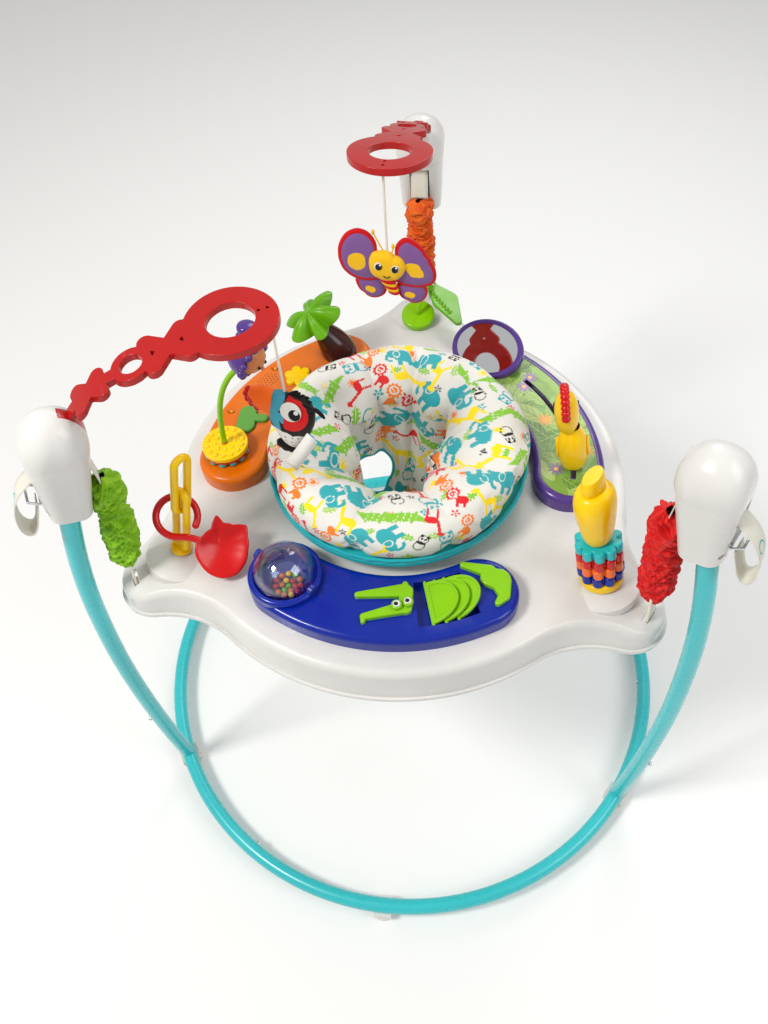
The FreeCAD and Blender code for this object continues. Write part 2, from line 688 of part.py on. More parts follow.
def tray():
    """Moulded tray: skirted shell with rim, seat collar, corner sockets and strap slots."""
    outer = softened(tray_block(0.0), 9.0, top_outline)
    shell = outer.cut(tray_block(TRAY_WALL))
    lip = Part.Face(tray_wire(2.5, TRAY_RIM)).extrude(Vector(0, 0, 5.0))
    lip = lip.cut(Part.Face(tray_wire(-3.0, TRAY_RIM - 1)).extrude(Vector(0, 0, 8.0)))
    collar = ring(SEAT_HOLE + 6, SEAT_HOLE, TRAY_TOP - 8, COLLAR_TOP)
    parts = [shell, lip, collar, battery_case()]
    for angle in LEG_ANGLES.values():
        cap = Part.makeSphere(84.0, Vector(-2, 0, -84.0)).common(Part.makeCylinder(42, 30, Vector(0, 0, -22)))
        parts.append(moved(cap, socket_frame(angle)))
    body = fused(parts)
    body = body.cut(Part.makeCylinder(SEAT_HOLE, 120, Vector(0, 0, 500)))
    for angle in LEG_ANGLES.values():
        frame = socket_frame(angle)
        body = body.cut(moved(Part.makeCylinder(SOCKET_BORE, 60, Vector(0, 0, -40)), frame))
        slot = block((-3.5, -11.5, -30), (3.5, 11.5, 30))
        body = body.cut(moved(slot, leaning(TAB_RADIUS, 545.0, math.degrees(math.atan(0.097)), angle)))
    cup = Part.makeCylinder(29.0, 40, Vector(CONSOLE_CENTRE, 0, TRAY_TOP - 20))
    body = body.cut(turned(cup, BLUE_ANGLE - CONSOLE_SPAN))
    for angle, spots in SCREW_SPOTS.items():
        for radius, turn in spots:
            body = body.cut(Part.makeCylinder(2.2, 30, polar(radius, angle + turn, TRAY_TOP - 15)))
    return body.removeSplitter()


SCREW_SPOTS = {
    BLUE_ANGLE: ((182.0, -12.0), (243.0, -12.0), (212.0, 38.0)),
    ORANGE_ANGLE: ((180.0, 2.0), (244.0, 22.0), (246.0, -21.0)),
    PURPLE_ANGLE: ((184.0, -14.0), (184.0, 8.0), (247.0, -4.0)),
}


def tray_screws():
    """Self-tapping screws that hold the consoles from below."""
    screws = []
    for angle, spots in SCREW_SPOTS.items():
        for radius, turn in spots:
            foot = polar(radius, angle + turn, TRAY_TOP - TRAY_WALL - 2.4)
            head = Part.makeCylinder(3.8, 2.4, foot)
            shank = Part.makeCylinder(1.7, 14.0, foot)
            screws.append(fused([head, shank]))
    return screws


# ---- seat ---------------------------------------------------------------------------------------
def seat_ring():
    """Turning ring that rests on the tray collar, with a skirt down through it."""
    flange = ring(160.0, 120.0, COLLAR_TOP + 0.2, COLLAR_TOP + 7.0)
    flange = softened(flange, 2.5, edges_at(COLLAR_TOP + 7.0))
    skirt = ring(SEAT_HOLE - 1.0, 120.0, 548.0, COLLAR_TOP + 2)
    outer_wall = ring(141.0, SEAT_HOLE + 8.0, COLLAR_TOP - 12.0, COLLAR_TOP + 2)
    return fused([flange, skirt, outer_wall])


def seat_retainer():
    """Ring under the tray that keeps the seat ring from lifting out."""
    return ring(142.0, 120.0, 541.0, 547.8)


def seat_pad():
    """Padded seat top as a plain closed ring."""
    oval = ellipse_wire(37.0, 24.5, 0.0)
    oval.rotate(ORIGIN, OUTWARD, 90)
    oval.translate(Vector(122.5, 0, COLLAR_TOP + 32.2))
    return Part.Face(oval).revolve(ORIGIN, UP, 360)


LEG_HOLES = (125.0, 25.0)


def seat_sling():
    """Fabric seat pouch that hangs inside the pad, with two leg openings."""
    outer = [(85.0, 596.0), (80.0, 560.0), (70.0, 500.0), (52.0, 466.0), (28.0, 452.0), (0.0, 448.0)]
    inner = [(0.0, 452.0), (27.0, 456.0), (49.0, 469.0), (66.0, 501.0), (76.0, 560.0), (81.0, 596.0)]
    pouch = spun(outer + inner)
    for angle in LEG_HOLES:
        heading = polar(1.0, angle, -0.55)
        pouch = pouch.cut(cylinder(37.0, Vector(0, 0, 520) + heading * 22, Vector(0, 0, 520) + heading * 140))
    return pouch


# ---- consoles -----------------------------------------------------------------------------------
def console_wire(grow):
    """Curved bar outline with round ends, centred on +X at height zero."""
    outer, inner = CONSOLE_OUTER + grow, CONSOLE_INNER - grow
    cap = (outer - inner) / 2
    half = CONSOLE_SPAN
    edges = [arc(polar(outer, -half), polar(outer, 0), polar(outer, half))]
    edges.append(arc(polar(inner, -half), polar(inner, 0), polar(inner, half)))
    for side in (-1, 1):
        tip = polar(CONSOLE_CENTRE, side * half) + polar(cap, side * (half + 90))
        edges.append(arc(polar(outer, side * half), tip, polar(inner, side * half)))
    return Part.Wire(Part.__sortEdges__(edges))


def console_shell():
    """Plain console cover, open below, standing on the tray."""
    body = Part.Face(console_wire(0.0)).extrude(Vector(0, 0, CONSOLE_HEIGHT))
    body = softened(body, 7.0, edges_at(CONSOLE_HEIGHT))
    room = Part.Face(console_wire(-CONSOLE_WALL)).extrude(Vector(0, 0, CONSOLE_HEIGHT - CONSOLE_WALL))
    return body.cut(room)


def with_bosses(console, angle):
    """Console with its screw bosses, carried to its place on the tray."""
    top = CONSOLE_HEIGHT - CONSOLE_WALL + 1
    for radius, turn in SCREW_SPOTS[angle]:
        console = console.fuse(Part.makeCylinder(4.5, top, polar(radius, turn)))
    console = console.removeSplitter()
    for radius, turn in SCREW_SPOTS[angle]:
        console = console.cut(Part.makeCylinder(1.75, 13.0, polar(radius, turn, -1)))
    return moved(console, Placement(Vector(0, 0, TRAY_TOP), Rotation(UP, angle)))


FLAP_TURNS = (15.3, 18.8, 22.3)
FLAP_LEAN = 23.0
FLAP_HINGE = CONSOLE_HEIGHT - 2.0
FLAP_CENTRE = 210.0
BALL_LOCAL = BALL_HEIGHT - TRAY_TOP


def console_blue():
    """Front console with the bead ball's cup and the pocket of the three flaps."""
    body = console_shell()
    spot = polar(CONSOLE_CENTRE, -CONSOLE_SPAN)
    across = polar(1.0, -CONSOLE_SPAN + 90)
    middle = spot + Vector(0, 0, BALL_LOCAL)
    rim = Part.makeCylinder(43.5, BALL_LOCAL, spot)
    rim = softened(rim, 4.0, edges_at(BALL_LOCAL))
    bowl = Part.makeSphere(BALL_RADIUS + 4.5, middle)
    bowl = bowl.common(Part.makeCylinder(44, 60, spot + Vector(0, 0, -30)))
    bowl = bowl.common(block((0, -400, -40), (400, 400, BALL_LOCAL)))
    rim = rim.cut(Part.makeCylinder(38, BALL_LOCAL + 10, spot - Vector(0, 0, 5)))
    lugs = [cylinder(6.5, middle + across * 38.5 * side, middle + across * 43.4 * side) for side in (-1, 1)]
    body = body.cut(Part.makeCylinder(38, 60, spot - Vector(0, 0, 5)))
    body = fused([body, rim, bowl] + lugs)
    body = body.cut(Part.makeSphere(BALL_RADIUS + 1.4, middle))
    body = body.cut(cylinder(3.05, middle - across * 60, middle + across * 60))
    tub = sector(178.0, 242.0, 10.0, 29.5, CONSOLE_HEIGHT - 13, CONSOLE_HEIGHT - 0.5)
    pocket = sector(181.5, 238.5, 11.2, 28.3, CONSOLE_HEIGHT - 10, CONSOLE_HEIGHT + 5)
    body = fused([body, tub]).cut(pocket)
    for turn in FLAP_TURNS:
        centre = Vector(0, 0, FLAP_HINGE)
        body = body.cut(cylinder(1.9, centre + polar(179.0, turn), centre + polar(241.0, turn)))
    return with_bosses(body, BLUE_ANGLE)


def bead_ball():
    """Clear hollow ball on two pegs."""
    centre = polar(CONSOLE_CENTRE, BLUE_ANGLE - CONSOLE_SPAN, BALL_HEIGHT)
    across = polar(1.0, BLUE_ANGLE - CONSOLE_SPAN + 90)
    ball = Part.makeSphere(BALL_RADIUS, centre)
    pegs = [cylinder(3.0, centre + across * (BALL_RADIUS - 1.5) * side, centre + across * 42.5 * side)
            for side in (-1, 1)]
    return fused([ball] + pegs).cut(Part.makeSphere(BALL_RADIUS - 1.8, centre))


def ball_beads():
    """Loose beads that lie in the bottom of the ball."""
    centre = polar(CONSOLE_CENTRE, BLUE_ANGLE - CONSOLE_SPAN, BALL_HEIGHT)
    bead = 3.4
    shell = BALL_RADIUS - 1.8 - bead - 0.1
    beads = []
    for tilt, count in ((0.0, 1), (14.5, 6), (28.5, 11)):
        for number in range(count):
            way = polar(math.sin(math.radians(tilt)), number * 360.0 / count, -math.cos(math.radians(tilt)))
            beads.append(Part.makeSphere(bead, centre + way * shell))
    return beads


def blue_plate(parts, edge_radius):
    """Flat moulding laid on the blue console's top, drawn in console coordinates."""
    solid = fused(parts)
    top = CONSOLE_HEIGHT + 6.0
    solid = softened(solid, edge_radius, edges_at(top))
    return moved(solid, Placement(Vector(0, 0, TRAY_TOP), Rotation(UP, BLUE_ANGLE)))


def crocodile_head():
    """Open-jawed head with two raised eye bumps."""
    low, high = CONSOLE_HEIGHT, CONSOLE_HEIGHT + 6.0
    parts = [bar((201, -25), 3.5, (191, 27), 8.5, low, high)]
    parts.append(bar((228, -15), 4.0, (213, 27), 7.5, low, high))
    parts.append(bar((192, 29), 8.0, (213, 30), 7.5, low, high))
    parts.append(bar((183, 27), 3.5, (188, 28), 5.0, low, high))
    parts.append(bar((233.5, -15), 2.6, (229, -15), 3.5, low, high))
    head = blue_plate(parts, 2.2)
    bumps = [Part.makeCylinder(6.2, 5.5, Vector(x, y, high)) for x, y in ((213, 20.5), (208, 32.5))]
    bumps = [softened(bump, 2.5, edges_at(high + 5.5)) for bump in bumps]
    place = Placement(Vector(0, 0, TRAY_TOP), Rotation(UP, BLUE_ANGLE))
    return fused([head] + [moved(bump, place) for bump in bumps])


def crocodile_tail():
    """Hooked tail."""
    low, high = CONSOLE_HEIGHT, CONSOLE_HEIGHT + 6.0
    parts = [bar((166, 122), 12.0, (168, 131), 13.5, low, high)]
    parts.append(bar((152, 90), 3.6, (158, 120), 8.0, low, high))
    parts.append(bar((170, 133), 12.0, (188, 138), 6.5, low, high))
    parts.append(bar((188, 138), 6.5, (198, 131), 3.5, low, high))
    parts = [part.common(block((148, 80, 0), (260, 160, 60))) for part in parts]
    return blue_plate(parts, 2.0)


def crocodile_flap(turn):
    """Half-round page on a hinge that runs outward across the console."""
    half, reach, thick = 26.5, 35.0, 1.5
    oval = Part.Ellipse(Vector(0, reach, 0), Vector(half, 0, 0), ORIGIN)
    lip = oval.toShape(1.5 * math.pi, 2.5 * math.pi)
    chord = Part.makeLine(Vector(-half, 0, 0), Vector(half, 0, 0))
    plate = face_of([lip, chord]).extrude(Vector(0, 0, 2 * thick))
    plate.translate(Vector(0, 0, -thick))
    inner = Part.Ellipse(Vector(0, reach - 5, 0), Vector(half - 5, 0, 0), ORIGIN)
    inner_lip = inner.toShape(1.5 * math.pi, 2.5 * math.pi)
    inner_chord = Part.makeLine(Vector(5 - half, 0, 0), Vector(half - 5, 0, 0))
    dish = face_of([inner_lip, inner_chord]).extrude(Vector(0, 0, 2))
    dish.translate(Vector(0, 4, thick - 1.0))
    barrel = cylinder(2.1, Vector(-half, 0, 0), Vector(half, 0, 0))
    pegs = cylinder(1.85, Vector(-30, 0, 0), Vector(30, 0, 0))
    page = fused([plate, barrel, pegs]).cut(dish)
    page.rotate(ORIGIN, OUTWARD, FLAP_LEAN)
    page.translate(Vector(FLAP_CENTRE, 0, FLAP_HINGE))
    return moved(page, Placement(Vector(0, 0, TRAY_TOP), Rotation(UP, BLUE_ANGLE + turn)))


FLOWER_SPOT = (204.0, -12.0)
DISC_SPOT = (220.0, 30.5)
PALM_SPOT = (CONSOLE_CENTRE, -CONSOLE_SPAN)
DISC_BASE = CONSOLE_HEIGHT + 2.2
STEM_RADIUS = 4.0
STEM_TOP = DISC_BASE + 16.2
LIGHT_SPOTS = ((240.5, 13.4), (241.0, -9.2))
SPEAKER_SPOT = (231.0, -3.6)


def flower(grow, bottom, top):
    """Six-petal button outline at its place on the orange console."""
    spot = polar(*FLOWER_SPOT)
    return lobed((spot.x, spot.y), 6, 12.6, 6.6 + grow, bottom, top, 20.0)


def turtle(grow, bottom, top):
    """Turtle-like button outline at its place on the orange console."""
    parts = [bar((211, 47), 11.5 + grow, (199, 66), 12.5 + grow, bottom, top)]
    parts.append(bar((203, 52), 7 + grow, (187, 43), 6.0 + grow, bottom, top))
    return fused(parts)


def console_orange():
    """Left console with two buttons, lights, a speaker grille, spinning discs and a palm tree."""
    body = console_shell()
    seat = polar(*PALM_SPOT)
    stem = polar(*DISC_SPOT)
    body = body.cut(Part.makeCylinder(21.0, 40, seat))
    root = CONSOLE_HEIGHT - 2.0
    foot = stem + Vector(0, 0, root)
    body = body.fuse(Part.makeCylinder(8.0, DISC_BASE - 0.1 - root, foot))
    body = body.fuse(Part.makeCylinder(STEM_RADIUS, STEM_TOP - root, foot))
    body = body.cut(flower(0.35, CONSOLE_HEIGHT - 8, CONSOLE_HEIGHT + 5))
    body = body.cut(turtle(0.35, CONSOLE_HEIGHT - 8, CONSOLE_HEIGHT + 5))
    for spot in LIGHT_SPOTS:
        body = body.cut(Part.makeCone(3.0, 6.0, 3.2, polar(*spot, CONSOLE_HEIGHT - 3.1)))
    centre = polar(*SPEAKER_SPOT)
    for row in range(-2, 3):
        for column in range(-3, 4):
            x, y = row * 4.6, column * 4.6 + (row % 2) * 2.3
            if (x / 12.0) ** 2 + (y / 16.0) ** 2 < 1:
                body = body.cut(Part.makeCylinder(1.0, 8, centre + Vector(x, y, CONSOLE_HEIGHT - 5)))
    return with_bosses(body, ORANGE_ANGLE)


def push_button(outline, edge_radius):
    """Button that stands proud of the console, with a hidden flange under its cover."""
    top = CONSOLE_HEIGHT + 5.0
    cap = softened(outline(0.0, CONSOLE_HEIGHT - CONSOLE_WALL - 1, top), edge_radius, edges_at(top))
    flange = outline(1.6, CONSOLE_HEIGHT - CONSOLE_WALL - 2.0, CONSOLE_HEIGHT - CONSOLE_WALL - 0.1)
    return moved(fused([cap, flange]), Placement(Vector(0, 0, TRAY_TOP), Rotation(UP, ORANGE_ANGLE)))


def sound_module():
    """Circuit board with its speaker, two switch domes and two lights, under the orange cover."""
    board = sector(198.0, 247.0, -14.0, 12.0, 2.0, 3.6)
    speaker = cylinder(15.0, polar(*SPEAKER_SPOT, 3.0), polar(*SPEAKER_SPOT, 14.0))
    lights = []
    for radius, turn in LIGHT_SPOTS:
        lights.append(Part.makeCylinder(2.6, CONSOLE_HEIGHT - 4.6, polar(radius, turn, 2.5)))
        lights.append(Part.makeSphere(2.6, polar(radius, turn, CONSOLE_HEIGHT - 2.1)))
    parts = [board, speaker] + lights + [sector(232.0, 247.0, 8.0, 15.0, 2.0, 3.6)]
    parts.append(Part.makeCylinder(4.0, 8.0, polar(*FLOWER_SPOT, 3.0)))
    return moved(fused(parts), Placement(Vector(0, 0, TRAY_TOP), Rotation(UP, ORANGE_ANGLE)))


def battery_door():
    """Door of the battery case with its finger catch."""
    low = TRAY_TOP - TRAY_WALL - 28.0
    door = block((190, -42, low - 2.4), (246, 42, low))
    catch = block((208, 42, low - 2.4), (228, 46, low + 6))
    return turned(fused([door, catch]), ORANGE_ANGLE)


PALM_GAP = 3.4


def palm_frame():
    """Frame at the palm tree's base; the trunk leans along local -X."""
    base = polar(PALM_SPOT[0], ORANGE_ANGLE + PALM_SPOT[1], TRAY_TOP + CONSOLE_HEIGHT)
    return Placement(base, Rotation())


def palm_trunk():
    """Clear brown trunk of the palm, a leaning dome with a flange below the cover."""
    dome = stacked_ovals([(PALM_GAP, 24.0, 24.0, 0.0), (16.0, 24.0, 23.0, -3.0), (32.0, 20.0, 19.0, -10.0),
                          (45.0, 13.5, 13.0, -18.0), (54.0, 7.0, 7.0, -24.0)])
    neck = Part.makeCylinder(17.0, PALM_GAP + 8.0, Vector(0, 0, -7.0))
    return moved(fused([dome, neck]), palm_frame())


def palm_leaves():
    """Cluster of six broad leaves on top of the trunk."""
    crown = lobed((0, 0), 6, 24.0, 15.0, -30, 30, 10.0)
    dome = Part.makeSphere(62.0, Vector(0, 0, -56.0)).cut(Part.makeSphere(58.0, Vector(0, 0, -59.0)))
    canopy = crown.common(dome).common(block((-60, -60, -26), (60, 60, 20)))
    hub = Part.makeCylinder(8.0, 9.0, Vector(0, 0, -8.5))
    socket = Part.makeCylinder(9.5, 7.0, Vector(0, 0, -8.5))
    shape = fused([canopy, hub, socket])
    tilt = Placement(Vector(-27.0, 0.0, 63.5), Rotation(SIDEWAYS, -18.0))
    return moved(shape, palm_frame().multiply(tilt)).cut(palm_trunk())


def disc(outer, bottom, top, wavy):
    """Spinning disc on the orange console's stem."""
    spot = polar(*DISC_SPOT)
    if wavy:
        plate = lobed((spot.x, spot.y), 12, outer - 4.0, 4.6, bottom, top)
    else:
        plate = Part.makeCylinder(outer, top - bottom, spot + Vector(0, 0, bottom))
        plate = softened(plate, 1.2, edges_at(top))
    plate = plate.cut(Part.makeCylinder(STEM_RADIUS + RUNNING_GAP, 60, spot))
    return moved(plate, Placement(Vector(0, 0, TRAY_TOP), Rotation(UP, ORANGE_ANGLE)))


def beaded_disc():
    """Top disc with two rings of raised beads."""
    spot = polar(*DISC_SPOT)
    top = DISC_BASE + 15.5
    plate = disc(29.0, DISC_BASE + 9.6, top, False)
    bumps = []
    for reach, count in ((12.5, 8), (22.5, 14)):
        for number in range(count):
            place = spot + polar(reach, number * 360.0 / count) + Vector(0, 0, top - 0.6)
            bumps.append(Part.makeSphere(3.6 if reach > 20 else 3.0, place))
    carry = Placement(Vector(0, 0, TRAY_TOP), Rotation(UP, ORANGE_ANGLE))
    return fused([plate] + [moved(bump, carry) for bump in bumps])


def wavy_disc():
    """Scalloped lower disc."""
    return disc(28.0, DISC_BASE, DISC_BASE + 4.4, True)


def middle_disc():
    """Plain middle disc."""
    return disc(28.0, DISC_BASE + 4.9, DISC_BASE + 9.1, False)


ROD_BASE = TRAY_TOP + STEM_TOP + 4.0
ROD_PLAN_ANGLE = ORANGE_ANGLE + DISC_SPOT[1]


def stalk_bar(thickness):
    """Round bar along the figure's stalk, in the plane of its bend."""
    radius = DISC_SPOT[0]
    points = [(radius, 0, ROD_BASE), (radius - 3, 0, 640), (radius - 11, 0, 680),
              (radius - 27, 0, 715), (radius - 46, 0, 736)]
    return swept([curve(points)], thickness)


def figure_rod():
    """Springy stalk that stands on the discs' stem and curves in over the seat side."""
    foot = Part.makeSphere(3.8, Vector(DISC_SPOT[0], 0, ROD_BASE))
    return turned(fused([stalk_bar(3.5), foot]), ROD_PLAN_ANGLE)


def figure_head():
    """Round head with a soft peaked hood on the end of the stalk."""
    centre = Vector(DISC_SPOT[0] - 58.0, 0, 752.0)
    face = Part.makeSphere(20.0, centre)
    hood = spun([(0, -6), (22.5, -6), (23.5, 6), (20.0, 20), (10.0, 31), (6.5, 45), (0, 47)])
    hood.translate(centre)
    collar = Part.makeCylinder(14.0, 8.0, centre + Vector(0, 0, -22))
    return turned(fused([face, hood, collar]).cut(stalk_bar(3.52)), ROD_PLAN_ANGLE)


MIRROR_TILT = 26.0
SLOT_RADIUS = 217.0
FIGURE_TURN = -28.0


def mirror_frame_place():
    """Frame on the purple console at the mirror's middle, tipped towards the seat."""
    spot = Placement(Vector(0, 0, 0), Rotation(UP, CONSOLE_SPAN))
    return spot.multiply(Placement(Vector(215.0, 0, 42.0), Rotation(SIDEWAYS, -MIRROR_TILT)))


def console_purple():
    """Right console with the curved slot of the sliding figure and the tipped mirror frame."""
    body = console_shell()
    label = Part.Face(console_wire(-9.0)).extrude(Vector(0, 0, 5))
    label.translate(Vector(0, 0, CONSOLE_HEIGHT - 0.8))
    body = body.cut(label)
    frame = mirror_frame_place()
    rim = Part.Face(ellipse_wire(42.0, 51.0, -10.0)).extrude(Vector(0, 0, 10.0))
    rim = softened(rim, 3.5, edges_at(0.0))
    stand = Part.Face(ellipse_wire(37.0, 46.0, -60.0)).extrude(Vector(0, 0, 55.0))
    stand = moved(stand, frame).common(block((0, -400, CONSOLE_HEIGHT - 1.5), (400, 400, 100)))
    stand = stand.common(Part.Face(console_wire(-2.0)).extrude(Vector(0, 0, 80)))
    body = fused([body, moved(rim, frame), stand])
    pocket = Part.Face(ellipse_wire(34.6, 43.6, -3.0)).extrude(Vector(0, 0, 10.0))
    body = body.cut(moved(pocket, frame))
    slot = sector(SLOT_RADIUS - 3, SLOT_RADIUS + 3, -33.5, 14.0, 10, 40)
    return with_bosses(body.cut(slot), PURPLE_ANGLE)


def mirror():
    """Oval acrylic mirror pressed in its frame."""
    glass = Part.Face(ellipse_wire(34.3, 43.3, -3.0)).extrude(Vector(0, 0, 2.4))
    place = Placement(Vector(0, 0, TRAY_TOP), Rotation(UP, PURPLE_ANGLE))
    return moved(glass, place.multiply(mirror_frame_place()))


def sliding_figure():
    """Crested bird figure on a foot that rides in the curved slot."""
    top = CONSOLE_HEIGHT
    rows = [(3.4, 15.0, 12.0, 0.0), (20.0, 20.0, 18.0, 0.0), (45.0, 18.5, 17.0, 0.0),
            (64.0, 11.5, 11.0, -1.0), (78.0, 14.0, 13.0, -4.0), (96.0, 18.0, 15.5, -7.0), (116.0, 17.0, 14.5, -9.0),
            (130.0, 9.0, 8.0, -10.0)]
    body = stacked_ovals(rows)
    beak = Part.makeCone(6.5, 2.0, 16.0, Vector(-6.0, 11.0, 100.0), SIDEWAYS)
    crest = []
    for number in range(6):
        swing = math.radians(150 - number * 26)
        spot = Vector(-8 * math.sin(swing), 17.5 * math.cos(swing), 108 + 24 * math.sin(swing))
        crest.append(Part.makeSphere(6.2, spot))
    lean = Placement(Vector(SLOT_RADIUS, 0, top), Rotation(SIDEWAYS, -8.0))
    figure = moved(fused([body, beak] + crest), lean)
    neck = sector(SLOT_RADIUS - 2.5, SLOT_RADIUS + 2.5, -1.6, 1.6, top - 8.0, top + 6)
    foot = sector(SLOT_RADIUS - 10, SLOT_RADIUS + 10, -3.2, 3.2, top - 8.4, top - 4.2)
    figure = fused([figure, neck, foot])
    return moved(figure, Placement(Vector(0, 0, TRAY_TOP), Rotation(UP, PURPLE_ANGLE + FIGURE_TURN)))


# ---- corner toys --------------------------------------------------------------------------------
POST_RADIUS = 6.0
RING_PITCH = 14.2
RING_START = 10.0


def post_base():
    """Yellow base disc, plug and post of the ring stack."""
    base = softened(Part.makeCylinder(25.0, 9.4, Vector(0, 0, 0.4)), 2.0, edges_at(9.8))
    post = Part.makeCylinder(POST_RADIUS, 134.0)
    plug = Part.makeCylinder(SOCKET_BORE - RUNNING_GAP, 14.0, Vector(0, 0, -12.0))
    return moved(fused([base, post, plug]), socket_frame(LEG_ANGLES["right"]))


def scalloped_ring(level):
    """One ten-lobed ring of the stack, counted from the bottom."""
    low = RING_START + level * RING_PITCH
    top = low + RING_PITCH - 0.5
    body = lobed((0, 0), 10, 20.4, 6.0, low, top, level * 4.0)
    pick = lambda edge: edges_at(low)(edge) or edges_at(top)(edge)
    body = softened(body, 2.2, pick)
    body = body.cut(Part.makeCylinder(POST_RADIUS + RUNNING_GAP, 40, Vector(0, 0, low - 5)))
    return moved(body, socket_frame(LEG_ANGLES["right"]))


def post_top():
    """Yellow rattle that turns on top of the post."""
    low = RING_START + 4 * RING_PITCH + 0.6
    body = stacked_ovals([(low, 13.0, 14.5, 0.0), (low + 10, 16.5, 18.5, 0.0), (low + 34, 20.0, 23.0, 0.0),
                          (low + 60, 21.5, 25.5, 0.0), (low + 71, 19.0, 22.5, 0.0),
                          (low + 76, 12.0, 15.5, 0.0)])
    cap = stacked_ovals([(low + 72, 8.5, 13.0, 0.0), (low + 78, 9.5, 17.0, 0.0), (low + 90, 9.5, 17.5, 0.0),
                         (low + 95, 8.0, 15.5, 0.0)])
    bore = Part.makeCylinder(POST_RADIUS + RUNNING_GAP, 74.0, Vector(0, 0, low - 3))
    return moved(fused([body, cap]).cut(bore), socket_frame(LEG_ANGLES["right"]))


def link_loop(middle, half_length, half_width, radius, turn):
    """Chain link: a rounded loop of bar standing upright, turned about its own axis."""
    straight = half_length - half_width
    points = [Vector(0, half_width, straight), Vector(0, 0, half_length), Vector(0, -half_width, straight)]
    feet = [Vector(0, -half_width, -straight), Vector(0, 0, -half_length), Vector(0, half_width, -straight)]
    path = [arc(*points), Part.makeLine(points[2], feet[0]), arc(*feet), Part.makeLine(feet[2], points[0])]
    loop = swept(path, radius)
    return moved(loop, Placement(Vector(0, 0, middle), Rotation(UP, turn)))


def link_post():
    """Two stiff chain links moulded one above the other on a plug."""
    base = Part.makeCylinder(13.0, 4.0, Vector(0, 0, 0.4))
    plug = Part.makeCylinder(SOCKET_BORE - RUNNING_GAP, 14.0, Vector(0, 0, -12.0))
    lower = link_loop(52.0, 48.0, 9.0, 4.6, 25.0)
    upper = link_loop(112.0, 41.0, 9.0, 4.6, 115.0)
    web = Part.makeCylinder(3.6, 28.0, Vector(0, 0, 72.0))
    return moved(fused([base, plug, lower, upper, web]), socket_frame(LEG_ANGLES["left"]))


def hook_frame():
    """Frame of the hooked teether: its plane faces up and to the front."""
    centre = polar(277.0, 210.0, 628.0)
    across = polar(1.0, 32.0)
    normal = polar(math.cos(math.radians(52)), -58.0, math.sin(math.radians(52)))
    rise = normal.cross(across)
    return Placement(centre, Rotation(across, rise, normal, "ZXY"))


def hook_teether():
    """Red open hook with a leaf-shaped scoop."""
    loop = swept([arc(polar(23.5, -52), polar(23.5, 90), polar(23.5, 232))], 4.0)
    half = 3.0
    leaf = [bar((-14.5, -18.5), 4.0, (14, -36), 9.0, -half, half)]
    leaf.append(bar((14, -46), 15.0, (36, -62), 22.0, -half, half))
    leaf.append(bar((24, -44), 17.0, (42, -14), 6.0, -half, half))
    leaf.append(bar((40, -50), 17.0, (70, -40), 6.0, -half, half))
    plate = softened(fused(leaf), 1.8, lambda edge: edge.BoundBox.ZLength < 0.01)
    dish = Part.makeSphere(60.0, Vector(32, -52, half - 2.6 + 60.0))
    tip = Part.makeSphere(4.0, polar(23.5, -52))
    return moved(fused([loop, tip, plate.cut(dish)]), hook_frame())


def leaf_stalk():
    """Green plug cup with a curled stalk at the rear corner."""
    frame = socket_frame(LEG_ANGLES["rear"])
    cup = softened(Part.makeCylinder(24.0, 9.0, Vector(0, 0, 0.4)), 2.5, edges_at(9.4))
    plug = Part.makeCylinder(SOCKET_BORE - RUNNING_GAP, 14.0, Vector(0, 0, -12.0))
    stalk = swept([curve([(0, 0, 4), (4, -2, 24), (22, -8, 36), (38, -13, 30), (46, -15.5, 12)])], 3.0)
    knob = Part.makeSphere(4.2, Vector(46, -15.5, 11))
    return moved(fused([cup, plug, stalk, knob]), frame)


LEAF_EYE = Vector(15.0, 326.5, 595.5)


def leaf_teether():
    """Flat leaf with a beaded spine, hung by an eye from the stalk."""
    half = 2.4
    body = [bar((8, 0), 9.0, (38, 4), 19.0, -half, half), bar((38, 4), 19.0, (84, 0), 6.0, -half, half)]
    plate = softened(fused(body), 1.6, lambda edge: edge.BoundBox.ZLength < 0.01)
    beads = [Part.makeSphere(3.4, Vector(12 + number * 7.5, -7 + number * 0.6, half - 0.4))
             for number in range(8)]
    eye = Part.makeTorus(7.2, 2.0, ORIGIN)
    hole = Part.makeCylinder(5.2, 20, Vector(0, 0, -10))
    shape = fused([plate.cut(hole), eye] + beads)
    tip = Placement(LEAF_EYE, Rotation(UP, -58.0)).multiply(Placement(ORIGIN, Rotation(SIDEWAYS, 4.0)))
    return moved(shape, tip)


